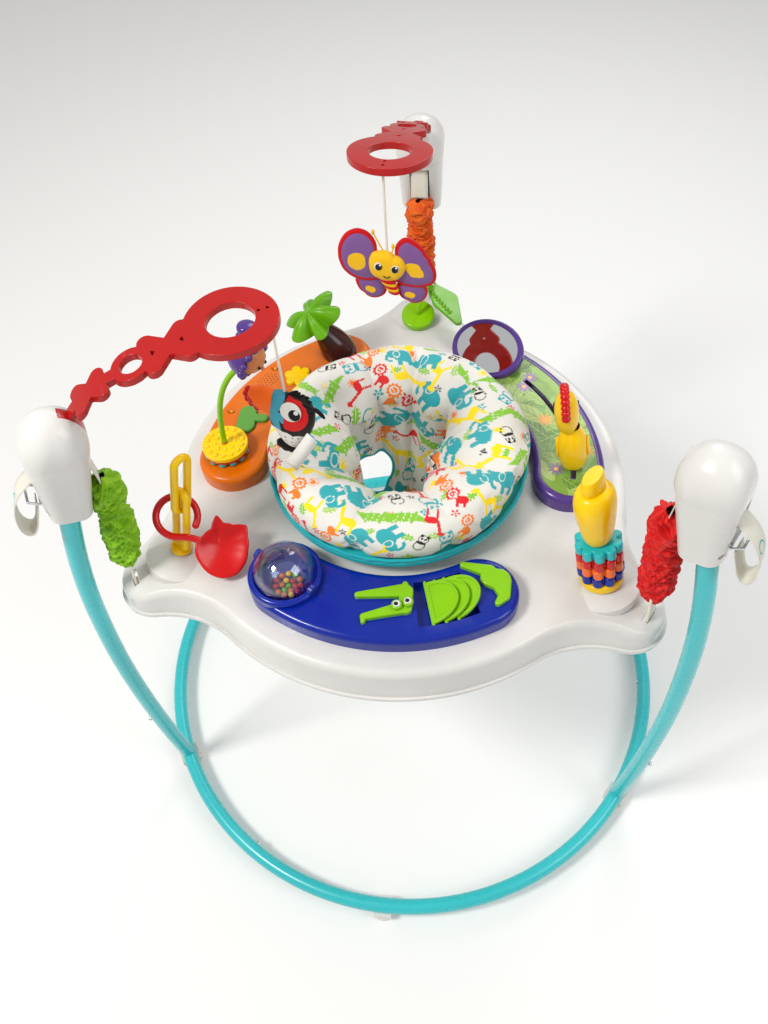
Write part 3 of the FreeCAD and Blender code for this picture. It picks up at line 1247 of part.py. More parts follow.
# ---- all sub-parts ------------------------------------------------------------------------------
def sub_parts():
    """Every node's name and shape."""
    parts = {}
    inner_shells, outer_shells = [], []
    for side, angle in LEG_ANGLES.items():
        parts["base_arc_" + side] = base_arc(angle)
        inner, outer = housing_shells(angle, BAR_FRAMES.get(side))
        inner_shells.append(inner)
        outer_shells.append(outer)
        parts["sleeve_" + side] = spring_sleeve(angle)
    legs = list(LEG_ANGLES.values())
    parts["uprights"] = Part.makeCompound([upright(angle) for angle in legs])
    parts["housing_inner_shells"] = Part.makeCompound(inner_shells)
    parts["housing_outer_shells"] = Part.makeCompound(outer_shells)
    parts["floor_feet"] = Part.makeCompound([floor_foot(30.0 + 60 * number) for number in range(6)])
    places = [leg_button_place(angle) for angle in legs] + [ring_button_place(angle) for angle in legs]
    parts["snap_buttons"] = Part.makeCompound([snap_button(*place) for place in places])
    parts["housing_screws"] = Part.makeCompound(sum([housing_screws(angle) for angle in legs], []))
    parts["strap_buckles"] = Part.makeCompound([strap_buckle(angle) for angle in legs])
    strap = ribbon(strap_path(), 1.8, 22.0)
    parts["height_straps"] = Part.makeCompound([moved(strap, housing_frame(angle)) for angle in legs])
    parts["springs"] = Part.makeCompound([coil_spring(angle) for angle in legs])
    parts["tray_tabs"] = Part.makeCompound([tray_tab(angle) for angle in legs])
    arm = toy_bar()
    for side, frame in BAR_FRAMES.items():
        root = bar_root(LEG_ANGLES[side], frame)
        parts["toy_bar_" + side] = moved(arm.fuse(root).removeSplitter(), frame)
        parts["toy_cord_" + side] = toy_cord(side)
    parts["toucan"] = toucan()
    parts["butterfly"] = butterfly()
    parts["tray"] = tray()
    parts["tray_screws"] = Part.makeCompound(tray_screws())
    parts["seat_ring"] = seat_ring()
    parts["seat_retainer"] = seat_retainer()
    parts["seat_pad"] = seat_pad()
    parts["seat_sling"] = seat_sling()
    parts["console_blue"] = console_blue()
    parts["bead_ball"] = bead_ball()
    parts["ball_beads"] = Part.makeCompound(ball_beads())
    parts["crocodile_ends"] = Part.makeCompound([crocodile_head(), crocodile_tail()])
    for number, turn in enumerate(FLAP_TURNS, 1):
        parts["crocodile_flap_%d" % number] = crocodile_flap(turn)
    parts["console_orange"] = console_orange()
    parts["flower_button"] = push_button(flower, 2.6)
    parts["turtle_button"] = push_button(turtle, 2.6)
    parts["sound_module"] = sound_module()
    parts["battery_door"] = battery_door()
    parts["palm_trunk"] = palm_trunk()
    parts["palm_leaves"] = palm_leaves()
    parts["wavy_disc"] = wavy_disc()
    parts["middle_disc"] = middle_disc()
    parts["beaded_disc"] = beaded_disc()
    parts["figure_rod"] = figure_rod()
    parts["figure_head"] = figure_head()
    parts["console_purple"] = console_purple()
    parts["mirror"] = mirror()
    parts["sliding_figure"] = sliding_figure()
    parts["post_base"] = post_base()
    for level, name in enumerate(("blue", "orange", "red", "teal")):
        parts["ring_" + name] = scalloped_ring(level)
    parts["post_top"] = post_top()
    parts["link_post"] = link_post()
    parts["hook_teether"] = hook_teether()
    parts["leaf_stalk"] = leaf_stalk()
    parts["leaf_teether"] = leaf_teether()
    return parts


def write_parts():
    """Write one STEP file per node and print what it holds."""
    os.makedirs("parts", exist_ok=True)
    for name, shape in sub_parts().items():
        sizes = [round(solid.Volume / 1000.0, 2) for solid in shape.Solids]
        state = "" if shape.isValid() else " NOT VALID"
        print(name, len(sizes), "solids", round(sum(sizes), 1), "cm3" + state)
        shape.exportStep("parts/%s.step" % name)


write_parts()
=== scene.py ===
import math

import bmesh
import bpy
import numpy as np
from mathutils import Matrix, Vector


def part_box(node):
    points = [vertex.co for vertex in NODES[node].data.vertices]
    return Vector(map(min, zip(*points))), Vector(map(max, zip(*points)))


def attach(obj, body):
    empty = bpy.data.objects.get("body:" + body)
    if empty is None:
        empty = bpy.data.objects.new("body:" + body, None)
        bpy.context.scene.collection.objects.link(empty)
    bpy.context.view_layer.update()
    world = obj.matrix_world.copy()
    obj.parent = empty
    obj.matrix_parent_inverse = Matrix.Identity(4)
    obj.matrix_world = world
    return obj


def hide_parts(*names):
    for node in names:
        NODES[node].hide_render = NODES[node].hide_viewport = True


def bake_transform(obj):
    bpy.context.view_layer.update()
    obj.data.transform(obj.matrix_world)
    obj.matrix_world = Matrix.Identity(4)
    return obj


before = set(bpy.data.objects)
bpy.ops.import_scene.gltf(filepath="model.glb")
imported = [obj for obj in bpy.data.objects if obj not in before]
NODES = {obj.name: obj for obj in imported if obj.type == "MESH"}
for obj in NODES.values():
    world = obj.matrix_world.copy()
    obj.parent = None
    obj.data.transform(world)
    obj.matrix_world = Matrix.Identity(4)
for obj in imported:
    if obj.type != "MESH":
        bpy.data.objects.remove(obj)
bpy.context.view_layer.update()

# The looks of the activity jumper. Metres, +Z up, the same frame as the CAD.
MM = 0.001
TAU = 2 * math.pi
LEGS = {"rear": 90.0, "left": 210.0, "right": 330.0}

# Plastics, paint and cloth, as display colours from 0 to 1.
TEAL = (0.16, 0.72, 0.74)
WHITE = (0.83, 0.825, 0.81)
BLUE = (0.0, 0.13, 0.56)
ORANGE = (0.84, 0.41, 0.0)
PURPLE = (0.31, 0.20, 0.50)
YELLOW = (0.96, 0.78, 0.0)
RED = (0.78, 0.01, 0.02)
LIME = (0.50, 0.74, 0.02)
GREEN = (0.40, 0.69, 0.12)
BLACK = (0.02, 0.02, 0.025)
CLOTH_WHITE = (0.86, 0.855, 0.83)
TAN = (0.80, 0.50, 0.30)

# Camera: place in metres, then degrees downward, to the right and rolled, and focal length in mm.
CAMERA_PLACE = (0.097, -0.671, 1.396)
CAMERA_ANGLES = (53.62, -10.17, -4.66)
CAMERA_LENS = 29.52


# ---- camera, light and floor --------------------------------------------------------------------
def place_camera():
    """Camera above the front edge, looking down at the seat."""
    pitch, yaw, roll = (math.radians(angle) for angle in CAMERA_ANGLES)
    forward = Vector((math.sin(yaw) * math.cos(pitch), math.cos(yaw) * math.cos(pitch), -math.sin(pitch)))
    level = Vector((math.cos(yaw), -math.sin(yaw), 0))
    upward = level.cross(forward)
    right = level * math.cos(roll) + upward * math.sin(roll)
    top = upward * math.cos(roll) - level * math.sin(roll)
    data = bpy.data.cameras.new("camera")
    data.lens = CAMERA_LENS
    data.clip_start = 0.05
    camera = bpy.data.objects.new("camera", data)
    turn = Matrix((right, top, -forward)).transposed().to_4x4()
    camera.matrix_world = Matrix.Translation(CAMERA_PLACE) @ turn
    bpy.context.scene.collection.objects.link(camera)
    bpy.context.scene.camera = camera


def soft_light(name, place, target, size, power, tint=(1, 1, 1)):
    """Square softbox that faces a point."""
    data = bpy.data.lights.new(name, "AREA")
    data.shape = "SQUARE"
    data.size = size
    data.energy = power
    data.color = tint
    light = bpy.data.objects.new(name, data)
    aim = Vector(target) - Vector(place)
    light.matrix_world = Matrix.Translation(place) @ aim.to_track_quat("-Z", "Y").to_matrix().to_4x4()
    bpy.context.scene.collection.objects.link(light)


def light_the_room():
    """Even white surroundings with a soft key, a fill and a back light."""
    world = bpy.data.worlds.new("room")
    world.use_nodes = True
    background = world.node_tree.nodes["Background"]
    background.inputs["Color"].default_value = (1.0, 0.99, 0.975, 1)
    background.inputs["Strength"].default_value = 0.56
    bpy.context.scene.world = world
    soft_light("key", (-1.3, -0.9, 2.5), (0, 0, 0.5), 0.55, 44, (1.0, 0.98, 0.95))
    soft_light("fill", (1.7, -0.6, 2.0), (0, 0, 0.5), 1.2, 16, (0.97, 0.98, 1.0))
    soft_light("back", (0.4, 1.9, 2.2), (0, 0, 0.6), 1.0, 16)
    scene = bpy.context.scene
    scene.view_settings.view_transform = "Standard"
    scene.view_settings.look = "None"


def lay_floor():
    """Plain pale floor."""
    mesh = bpy.data.meshes.new("floor")
    half = 6.0
    corners = [(-half, -half, 0), (half, -half, 0), (half, half, 0), (-half, half, 0)]
    mesh.from_pydata(corners, [], [(0, 1, 2, 3)])
    floor = bpy.data.objects.new("floor", mesh)
    bpy.context.scene.collection.objects.link(floor)
    build = Shader("floor_paint")
    build.surface((0.93, 0.93, 0.925), 0.7, specular=0.2)
    floor.data.materials.append(build.material)


# ---- materials ----------------------------------------------------------------------------------
def linear(colour):
    """Display colour turned into the renderer's linear colour, with alpha."""
    parts = [part / 12.92 if part <= 0.04045 else ((part + 0.055) / 1.055) ** 2.4 for part in colour]
    return (*parts, 1.0)


class Shader:
    """A material's node tree, built a node at a time."""

    def __init__(self, name):
        self.material = bpy.data.materials.new(name)
        self.material.use_nodes = True
        self.tree = self.material.node_tree
        self.tree.nodes.clear()
        self.output = self.tree.nodes.new("ShaderNodeOutputMaterial")

    def node(self, kind, links=None, **facts):
        """New node; links maps an input to a value or to another node's output."""
        made = self.tree.nodes.new("ShaderNode" + kind)
        for key, value in facts.items():
            setattr(made, key, value)
        for key, value in (links or {}).items():
            if isinstance(value, bpy.types.NodeSocket):
                self.tree.links.new(value, made.inputs[key])
            else:
                made.inputs[key].default_value = value
        return made

    def noise(self, scale, detail=2.0, vector=None):
        """Noise value from 0 to 1 over the object."""
        place = vector or self.node("TexCoord").outputs["Object"]
        return self.node("TexNoise", {"Vector": place, "Scale": scale, "Detail": detail}).outputs["Fac"]

    def span(self, value, low, high, start=0.0, end=1.0):
        """Value moved from one range to another."""
        links = {"Value": value, "From Min": start, "From Max": end, "To Min": low, "To Max": high}
        return self.node("MapRange", links).outputs["Result"]

    def mixed(self, share, first, second):
        """Colour between two colours."""
        return self.node("Mix", {0: share, 6: first, 7: second}, data_type="RGBA").outputs[2]

    def maths(self, task, first, second=0.5):
        """Arithmetic on two values."""
        return self.node("Math", {0: first, 1: second}, operation=task).outputs[0]

    def stretched_noise(self, scales, detail):
        """Noise drawn out along an axis: one scale for each of X, Y and Z."""
        place = self.node("TexCoord").outputs["Object"]
        stretched = self.node("Mapping", {"Vector": place, "Scale": scales}).outputs["Vector"]
        return self.noise(1.0, detail, stretched)

    def bump(self, height, depth, strength=1.0):
        """Normal from a height field whose full height is depth metres."""
        links = {"Height": height, "Distance": depth, "Strength": strength}
        return self.node("Bump", links).outputs["Normal"]

    def surface(self, colour, rough, normal=None, specular=0.5, **extra):
        """Closing surface shader."""
        links = {"Base Color": linear(colour) if isinstance(colour, tuple) and len(colour) == 3 else colour}
        links["Roughness"] = rough
        links["Specular IOR Level"] = specular
        if normal is not None:
            links["Normal"] = normal
        for key, value in extra.items():
            links[key.replace("_", " ").title().replace("Ior", "IOR")] = value
        shader = self.node("BsdfPrincipled", links)
        self.tree.links.new(shader.outputs[0], self.output.inputs["Surface"])
        return shader


def tinted(shade, colour, depth, scale):
    """Colour with soft cloudy variation and faintly paler rubbed edges."""
    base = linear(colour)
    dark = tuple(part * (1 - depth) for part in base[:3]) + (1.0,)
    light = tuple(min(1.0, part * (1 + depth)) for part in base[:3]) + (1.0,)
    clouds = shade.span(shade.noise(scale, 3.0), 0.0, 1.0, 0.3, 0.7)
    tone = shade.mixed(clouds, dark, light)
    ridge = shade.node("NewGeometry").outputs["Pointiness"]
    edge = shade.span(ridge, 0.0, 0.25, 0.53, 0.65)
    pale = tuple(min(1.0, part * 0.85 + 0.1) for part in base[:3]) + (1.0,)
    return shade.mixed(edge, tone, pale)


def plastic(name, colour, rough=0.2, grain=0.00003, glow=0.0):
    """Moulded plastic: faint flow marks, orange peel, finger smudges and fine scratches."""
    shade = Shader(name)
    smudge = shade.span(shade.noise(34.0, 4.0), rough - 0.07, rough + 0.14, 0.3, 0.75)
    scratch = shade.span(shade.stretched_noise((400.0, 30.0, 900.0), 2.0), 0.0, 1.0, 0.35, 0.65)
    peel = shade.noise(420.0, 2.0)
    height = shade.maths("ADD", shade.maths("MULTIPLY", scratch, 0.35), peel)
    normal = shade.bump(height, grain, 0.35)
    shade.surface(tinted(shade, colour, 0.07, 9.0), smudge, normal, 0.38,
                  coat_weight=0.05, coat_roughness=0.08, subsurface_weight=glow, subsurface_scale=0.004)
    return shade.material


def painted_tube(name, colour):
    """Powder-coated steel tube with small chips and a soft gloss."""
    shade = Shader(name)
    place = shade.node("TexCoord").outputs["Object"]
    chips = shade.node("TexVoronoi", {"Vector": place, "Scale": 46.0}).outputs["Distance"]
    rubbed = shade.span(shade.noise(14.0, 5.0), 0.0, 1.0, 0.6, 0.66)
    chip = shade.maths("MULTIPLY", shade.span(chips, 1.0, 0.0, 0.03, 0.06), rubbed)
    paint = tinted(shade, colour, 0.05, 5.0)
    tone = shade.mixed(chip, paint, linear((0.45, 0.47, 0.48)))
    rough = shade.span(shade.noise(60.0, 4.0), 0.2, 0.36, 0.3, 0.7)
    normal = shade.bump(shade.noise(700.0, 2.0), 0.00003, 0.3)
    shade.surface(tone, rough, normal, 0.5, coat_weight=0.35, coat_roughness=0.18)
    return shade.material


def metal(name, colour, rough, brushed=0.0):
    """Plated or drawn metal with fine grain and tarnish."""
    shade = Shader(name)
    grain = shade.stretched_noise((60.0, 60.0, 1600.0), 3.0)
    stain = shade.span(shade.noise(120.0, 4.0), rough, rough + 0.18, 0.4, 0.8)
    shade.surface(tinted(shade, colour, 0.1, 60.0), stain, shade.bump(grain, 0.00002, 0.2 + brushed), 0.5,
                  metallic=1.0)
    return shade.material


def woven_height(shade, pitch):
    """Height of a plain weave over the piece's own cloth coordinates, in threads of a given pitch."""
    cloth = shade.node("UVMap").outputs["UV"]
    split = shade.node("SeparateXYZ", {"Vector": cloth})
    threads = TAU / pitch
    rows = [shade.maths("SINE", shade.maths("MULTIPLY", split.outputs[axis], threads)) for axis in ("X", "Y")]
    return shade.maths("MULTIPLY", rows[0], rows[1])


def cloth(name, colour, pitch=0.9, rough=0.75, sheen=0.25, printed=False, crease=0.0004, marks=None):
    """Woven cloth with thread bump, slubs and soft creases, and either a print or painted sheen: thin lighter
    diagonal lines that stand in for light along the folds.
    """
    shade = Shader(name)
    slub = shade.noise(260.0, 3.0)
    if printed:
        base = shade.node("Attribute", attribute_name="print").outputs["Color"]
        worn = shade.mixed(shade.span(shade.noise(18.0, 4.0), 0.0, 0.1, 0.35, 0.75), base,
                           linear((0.6, 0.56, 0.48)))
    else:
        base = linear(colour)
        # Painted sheen: thin diagonal lines in the lighter marks colour stand in for light caught along the
        # folds.
        if marks is not None:
            flat = shade.node("UVMap").outputs["UV"]
            wave = shade.node("TexWave", {"Vector": flat, "Scale": 22.0, "Distortion": 9.0, "Detail": 1.0,
                                          "Detail Scale": 1.2}, bands_direction="DIAGONAL")
            line = shade.span(wave.outputs["Fac"], 0.0, 1.0, 0.72, 0.8)
            base = shade.mixed(line, base, linear(marks))
        worn = shade.mixed(shade.span(slub, 0.0, 0.22, 0.3, 0.7), base, shade.mixed(0.3, base, linear(BLACK)))
    weave = shade.maths("MULTIPLY", woven_height(shade, pitch * MM), 0.5)
    height = shade.maths("ADD", weave, shade.maths("MULTIPLY", slub, 0.8))
    fine = shade.bump(height, 0.00009, 0.55)
    folds = shade.noise(55.0, 3.0)
    normal = shade.node("Bump", {"Height": folds, "Distance": crease, "Strength": 0.5, "Normal": fine})
    shade.surface(worn, rough, normal.outputs["Normal"], 0.25, sheen_weight=sheen, sheen_roughness=0.4)
    return shade.material


def webbing(name, colour):
    """Narrow woven tape, ribbed across its length."""
    shade = Shader(name)
    place = shade.node("TexCoord").outputs["Object"]
    ribs = shade.node("TexWave", {"Vector": place, "Scale": 260.0, "Distortion": 0.6}, bands_direction="Z")
    fuzz = shade.noise(900.0, 2.0)
    height = shade.maths("ADD", ribs.outputs["Fac"], shade.maths("MULTIPLY", fuzz, 0.6))
    tone = shade.mixed(shade.span(ribs.outputs["Fac"], 0.0, 0.25), linear(colour), linear((0.6, 0.57, 0.5)))
    shade.surface(tone, 0.8, shade.bump(height, 0.0002, 0.5), 0.25, sheen_weight=0.3)
    return shade.material


def clear_plastic(name, tint, density=1.0, rough=0.05):
    """See-through moulding with faint scuffs."""
    shade = Shader(name)
    scuff = shade.span(shade.noise(90.0, 5.0), rough, rough + 0.14, 0.45, 0.8)
    tone = shade.mixed(shade.span(shade.noise(20.0), 0.0, 0.15), linear(tint), (1, 1, 1, 1))
    shade.surface(tone, scuff, None, 0.5, transmission_weight=density, ior=1.3)
    return shade.material


def thin_clear(name):
    """Thin clear shell: mostly seen through, with mirror-like reflections towards its edge."""
    shade = Shader(name)
    scuff = shade.span(shade.noise(70.0, 5.0), 0.01, 0.07, 0.45, 0.8)
    gloss = shade.node("BsdfAnisotropic", {"Color": (0.95, 0.97, 1.0, 1), "Roughness": scuff})
    through = shade.node("BsdfTransparent", {"Color": (0.93, 0.95, 1.0, 1)})
    rim = shade.node("LayerWeight", {"Blend": 0.25}).outputs["Facing"]
    share = shade.span(rim, 0.07, 0.6, 0.15, 1.0)
    blend = shade.node("MixShader", {0: share, 1: through.outputs[0], 2: gloss.outputs[0]})
    shade.tree.links.new(blend.outputs[0], shade.output.inputs["Surface"])
    return shade.material


def mirror_foil(name):
    """Acrylic mirror with faint smears."""
    shade = Shader(name)
    smear = shade.span(shade.noise(25.0, 5.0), 0.015, 0.09, 0.5, 0.85)
    cloudy = shade.span(shade.noise(9.0), 0.0, 0.3)
    tone = shade.mixed(cloudy, linear((0.9, 0.91, 0.92)), linear((0.82, 0.84, 0.86)))
    shade.surface(tone, smear, None, 0.5, metallic=1.0)
    return shade.material


def bead_plastic(name):
    """Small beads, each in one of a few bright colours."""
    shade = Shader(name)
    island = shade.node("NewGeometry").outputs["Random Per Island"]
    ramp = shade.node("ValToRGB", {"Fac": island})
    ramp.color_ramp.interpolation = "CONSTANT"
    stops = ramp.color_ramp.elements
    stops[0].color = linear(ORANGE)
    stops[1].position = 0.8
    stops[1].color = linear(YELLOW)
    for place, colour in ((0.3, RED), (0.55, GREEN)):
        stops.new(place).color = linear(colour)
    speck = shade.noise(300.0)
    shade.surface(ramp.outputs["Color"], shade.span(speck, 0.2, 0.4), shade.bump(speck, 0.00003), 0.5)
    return shade.material


LOOKS = {}


def look(name):
    """Shared material by name."""
    return LOOKS[name]


def make_looks():
    """Every shared material."""
    for name, colour in (("white", WHITE), ("blue", BLUE), ("orange", ORANGE), ("purple", PURPLE),
                         ("yellow", YELLOW), ("red", RED), ("lime", LIME), ("teal", TEAL),
                         ("black", BLACK), ("tan", TAN)):
        LOOKS[name] = plastic("plastic_" + name, colour, glow=0.08 if name in ("lime", "yellow") else 0.0)
    LOOKS["ring_teal"] = plastic("plastic_bright_teal", (0.10, 0.70, 0.72))
    LOOKS["ring_orange"] = plastic("plastic_bright_orange", (0.93, 0.42, 0.10))
    LOOKS["bar_red"] = plastic("plastic_bar_red", (0.66, 0.06, 0.05), 0.2)
    LOOKS["turtle"] = plastic("plastic_turtle", (0.36, 0.60, 0.24), 0.42, 0.00025)
    LOOKS["paint_teal"] = painted_tube("paint_teal", TEAL)
    LOOKS["chrome"] = metal("chrome", (0.82, 0.83, 0.84), 0.12)
    LOOKS["steel"] = metal("steel", (0.6, 0.6, 0.61), 0.3, 0.4)
    LOOKS["tape"] = webbing("tape", (0.9, 0.88, 0.82))
    LOOKS["clear"] = thin_clear("clear")
    LOOKS["brown"] = plastic("plastic_brown", (0.23, 0.07, 0.05), 0.12, 0.00002)
    LOOKS["amber"] = clear_plastic("amber", (0.98, 0.7, 0.1), 0.4, 0.1)
    LOOKS["mirror"] = mirror_foil("mirror")
    LOOKS["beads"] = bead_plastic("beads")
    LOOKS["print"] = cloth("printed_cotton", CLOTH_WHITE, 0.8, printed=True)
    # Each sleeve's third colour is its painted sheen, a lighter tone for the diagonal lines along its folds.
    for name, colour, marks in (("sleeve_green", (0.48, 0.70, 0.03), (0.56, 0.77, 0.12)),
                                ("sleeve_red", (0.80, 0.03, 0.04), (0.86, 0.13, 0.11)),
                                ("sleeve_orange", (0.84, 0.32, 0.02), (0.87, 0.39, 0.06))):
        LOOKS[name] = cloth(name, colour, 0.7, 0.5, 0.12, marks=marks)
    for name, colour in (("plush_black", (0.03, 0.03, 0.04)), ("plush_white", CLOTH_WHITE),
                         ("plush_red", (0.76, 0.02, 0.05)), ("plush_yellow", (0.92, 0.70, 0.02))):
        LOOKS[name] = cloth(name, colour, 0.7, 0.85, 0.35)
    LOOKS["patches"] = cloth("patchwork_plush", CLOTH_WHITE, 0.7, 0.8, 0.3, printed=True, crease=0.0002)
    LOOKS["palm"] = plastic("plastic_palm", (0.38, 0.64, 0.03), 0.22)
    LOOKS["tag"] = cloth("satin_tag", (0.88, 0.87, 0.85), 0.3, 0.5, 0.1, crease=0.0001)
    LOOKS["hem_teal"] = cloth("hem_teal", (0.10, 0.66, 0.70), 0.7, 0.7, 0.2)


PAINT = {
    "paint_teal": ("base_arc_left", "base_arc_right", "base_arc_rear", "uprights"),
    "white": ("floor_feet", "housing_inner_shells", "housing_outer_shells", "tray", "battery_door"),
    "chrome": ("snap_buttons", "strap_buckles"),
    "steel": ("housing_screws", "tray_screws"),
    "tape": ("height_straps", "tray_tabs"),
    "bar_red": ("toy_bar_left", "toy_bar_rear"),
    "teal": ("seat_ring", "seat_retainer"),
    "blue": ("console_blue", "ring_blue"),
    "clear": ("bead_ball",),
    "beads": ("ball_beads",),
    "lime": ("crocodile_ends", "crocodile_flap_1", "crocodile_flap_2", "crocodile_flap_3", "figure_rod",
             "leaf_stalk"),
    "orange": ("console_orange",),
    "yellow": ("flower_button", "beaded_disc", "post_base", "post_top", "link_post"),
    "turtle": ("turtle_button",),
    "amber": ("sound_module",),
    "brown": ("palm_trunk",),
    "ring_teal": ("wavy_disc", "ring_teal"),
    "red": ("middle_disc", "ring_red"),
    "ring_orange": ("ring_orange",),
    "purple": ("console_purple",),
    "mirror": ("mirror",),
    "palm": ("leaf_teether",),
}


def paint_cad():
    """Give every carried-over CAD node its finished material."""
    for name, nodes in PAINT.items():
        for node in nodes:
            for entry in NODES[node].material_slots:
                entry.material = look(name)


# ---- mesh helpers -------------------------------------------------------------------------------
def add_object(name, points, faces, material, cloth_map=None):
    """Smooth-shaded mesh object from points in metres."""
    mesh = bpy.data.meshes.new(name)
    mesh.from_pydata([tuple(point) for point in points], [], faces)
    mesh.materials.append(look(material))
    mesh.polygons.foreach_set("use_smooth", [True] * len(mesh.polygons))
    made = bpy.data.objects.new(name, mesh)
    bpy.context.scene.collection.objects.link(made)
    if cloth_map is not None:
        layer = mesh.uv_layers.new(name="cloth")
        layer.data.foreach_set("uv", np.asarray(cloth_map, np.float32).ravel())
    return made


def grid_faces(across, along, wrap_across, wrap_along):
    """Faces of a grid, and each corner's (column, row) before wrapping."""
    faces, corners = [], []
    for row in range(along if wrap_along else along - 1):
        for column in range(across if wrap_across else across - 1):
            square = ((column, row), (column + 1, row), (column + 1, row + 1), (column, row + 1))
            faces.append([(c % across) + (r % along) * across for c, r in square])
            corners += square
    return faces, corners


def surface(name, form, across, along, material, size=(1.0, 1.0),
            wrap_across=True, wrap_along=False, keep=None):
    """Mesh of form(u, v), u and v arrays from 0 to 1; size is the cloth's flat size in metres."""
    columns = across if wrap_across else across - 1
    rows = along if wrap_along else along - 1
    u, v = np.meshgrid(np.arange(across) / columns, np.arange(along) / rows)
    points = np.stack(form(u, v), axis=-1).reshape(-1, 3)
    faces, corners = grid_faces(across, along, wrap_across, wrap_along)
    if keep is not None:
        chosen = [i for i in range(len(faces)) if keep((corners[4 * i][0] + 0.5) / columns,
                                                       (corners[4 * i][1] + 0.5) / rows)]
        corners = [corners[4 * i + k] for i in chosen for k in range(4)]
        faces = [faces[i] for i in chosen]
    flat = np.array(corners, float) / (columns, rows) * size
    return add_object(name, points, faces, material, flat)


def add_modifier(piece, kind, **facts):
    """Add a modifier and set its values."""
    made = piece.modifiers.new(kind.lower(), kind)
    for key, value in facts.items():
        setattr(made, key, value)
    return made


def applied(piece):
    """Turn every modifier of a piece into mesh."""
    depth = bpy.context.evaluated_depsgraph_get()
    mesh = bpy.data.meshes.new_from_object(piece.evaluated_get(depth), depsgraph=depth)
    old = piece.data
    piece.modifiers.clear()
    piece.data = mesh
    if isinstance(old, bpy.types.Mesh):
        bpy.data.meshes.remove(old)
    return piece


def smoothed(piece, levels):
    """Add a subdivision surface."""
    return add_modifier(piece, "SUBSURF", levels=levels, render_levels=levels)


def points_of(piece):
    """Every point of a piece's mesh, as an array."""
    return np.array([vertex.co for vertex in piece.data.vertices])


def moved(place, x, y, z):
    """Frame moved along its own axes, in millimetres."""
    return place @ Matrix.Translation((x * MM, y * MM, z * MM))


def turned(place, angle, axis):
    """Frame turned by degrees about one of its own axes."""
    return place @ Matrix.Rotation(math.radians(angle), 4, axis)


def polar(radius, angle, height=0.0):
    """Point at a radius and an angle in degrees."""
    return Vector((radius * math.cos(math.radians(angle)), radius * math.sin(math.radians(angle)), height))


def pillow(name, outline, depth, material, place, flat=0.35, steps=64, rings=10, dished=0.0):
    """Stuffed or domed flat shape: outline(angles) gives its reach from the centre, in metres."""
    angles = np.arange(steps) / steps * TAU
    reach = outline(angles)
    points, faces = [], []
    for side in (1, -1):
        start = len(points)
        points.append((0, 0, side * depth - (dished if side > 0 else 0)))
        for ring in range(1, rings + 1):
            share = ring / rings
            height = side * depth * (1 - share ** (2 + 4 * flat)) ** 0.5
            if side > 0:
                height -= dished * (1 - share ** 2)
            for angle, far in zip(angles, reach):
                points.append((share * far * math.cos(angle), share * far * math.sin(angle), height))
        for ring in range(rings):
            for step in range(steps):
                after = (step + 1) % steps
                outer = [start + 1 + ring * steps + step, start + 1 + ring * steps + after]
                if ring == 0:
                    face = [start, outer[0], outer[1]]
                else:
                    inner = [index - steps for index in outer]
                    face = [inner[0], outer[0], outer[1], inner[1]]
                faces.append(face if side > 0 else face[::-1])
    flat_map = [points[index][:2] for face in faces for index in face]
    made = add_object(name, points, faces, material, flat_map)
    weld(made)
    made.matrix_world = place
    return made


def weld(piece, gap=1e-6):
    """Join points that lie on each other and face everything outward."""
    edit = bmesh.new()
    edit.from_mesh(piece.data)
    bmesh.ops.remove_doubles(edit, verts=edit.verts, dist=gap)
    bmesh.ops.recalc_face_normals(edit, faces=edit.faces)
    edit.to_mesh(piece.data)
    edit.free()


def blend_outline(points):
    """Outline function that passes smoothly through (angle in degrees, reach in millimetres) pairs."""
    angles = np.radians([angle for angle, _ in points])
    reach = np.array([far for _, far in points]) * MM

    def outline(query):
        turns = np.concatenate([angles - TAU, angles, angles + TAU])
        sizes = np.concatenate([reach] * 3)
        raw = np.interp(query, turns, sizes)
        span = TAU / len(query)
        kernel = np.hanning(max(3, int(0.13 / span) * 2 + 1))
        kernel /= kernel.sum()
        half = len(kernel) // 2
        padded = np.concatenate([raw[-half:], raw, raw[:half]])
        return np.convolve(padded, kernel, "valid")

    return outline


def tube(name, points, radius, material, closed=False, order=4, ends=None):
    """Round bar along a smooth curve; ends scales the radius at the two ends."""
    data = bpy.data.curves.new(name, "CURVE")
    data.dimensions = "3D"
    line = data.splines.new("NURBS")
    line.points.add(len(points) - 1)
    for index, point in enumerate(points):
        line.points[index].co = (*point, 1)
        if ends is not None:
            share = index / (len(points) - 1)
            line.points[index].radius = ends[0] * (1 - share) + ends[1] * share
    line.order_u = order
    line.use_endpoint_u = not closed
    line.use_cyclic_u = closed
    line.resolution_u = 8
    data.bevel_depth = radius
    data.bevel_resolution = 4
    data.use_fill_caps = True
    data.materials.append(look(material))
    made = bpy.data.objects.new(name, data)
    bpy.context.scene.collection.objects.link(made)
    return made


def ball(name, place, sizes, material):
    """Smooth ellipsoid at a frame or a point; sizes are its half lengths in millimetres."""
    if isinstance(place, Vector):
        place = Matrix.Translation(place)
    form = pillow(name, lambda angles: np.ones_like(angles), 1.0, material, place, 0.0, 32, 12)
    form.data.transform(Matrix.Diagonal((*(size * MM for size in sizes), 1.0)))
    return form


def put(piece, body, replaced=()):
    """Ride a piece on a body and hide the CAD nodes that it stands for."""
    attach(piece, body)
    if replaced:
        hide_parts(*replaced)
    return piece


# ---- prints -------------------------------------------------------------------------------------
def leaf_mark(x, y):
    """Serrated leaf with a bare midrib."""
    width = 0.5 * (1 - x ** 2) * (0.78 + 0.22 * np.sign(np.sin(14 * x + 3 * np.abs(y))))
    return (np.abs(x) < 1) & (np.abs(y) < width) & (np.abs(y) > 0.035)


def flower_mark(x, y):
    """Five-petal flower with a ring round its eye."""
    reach, turn = np.hypot(x, y), np.arctan2(y, x)
    return (reach < 0.62 + 0.3 * np.cos(5 * turn)) & ((reach > 0.34) | (reach < 0.2))


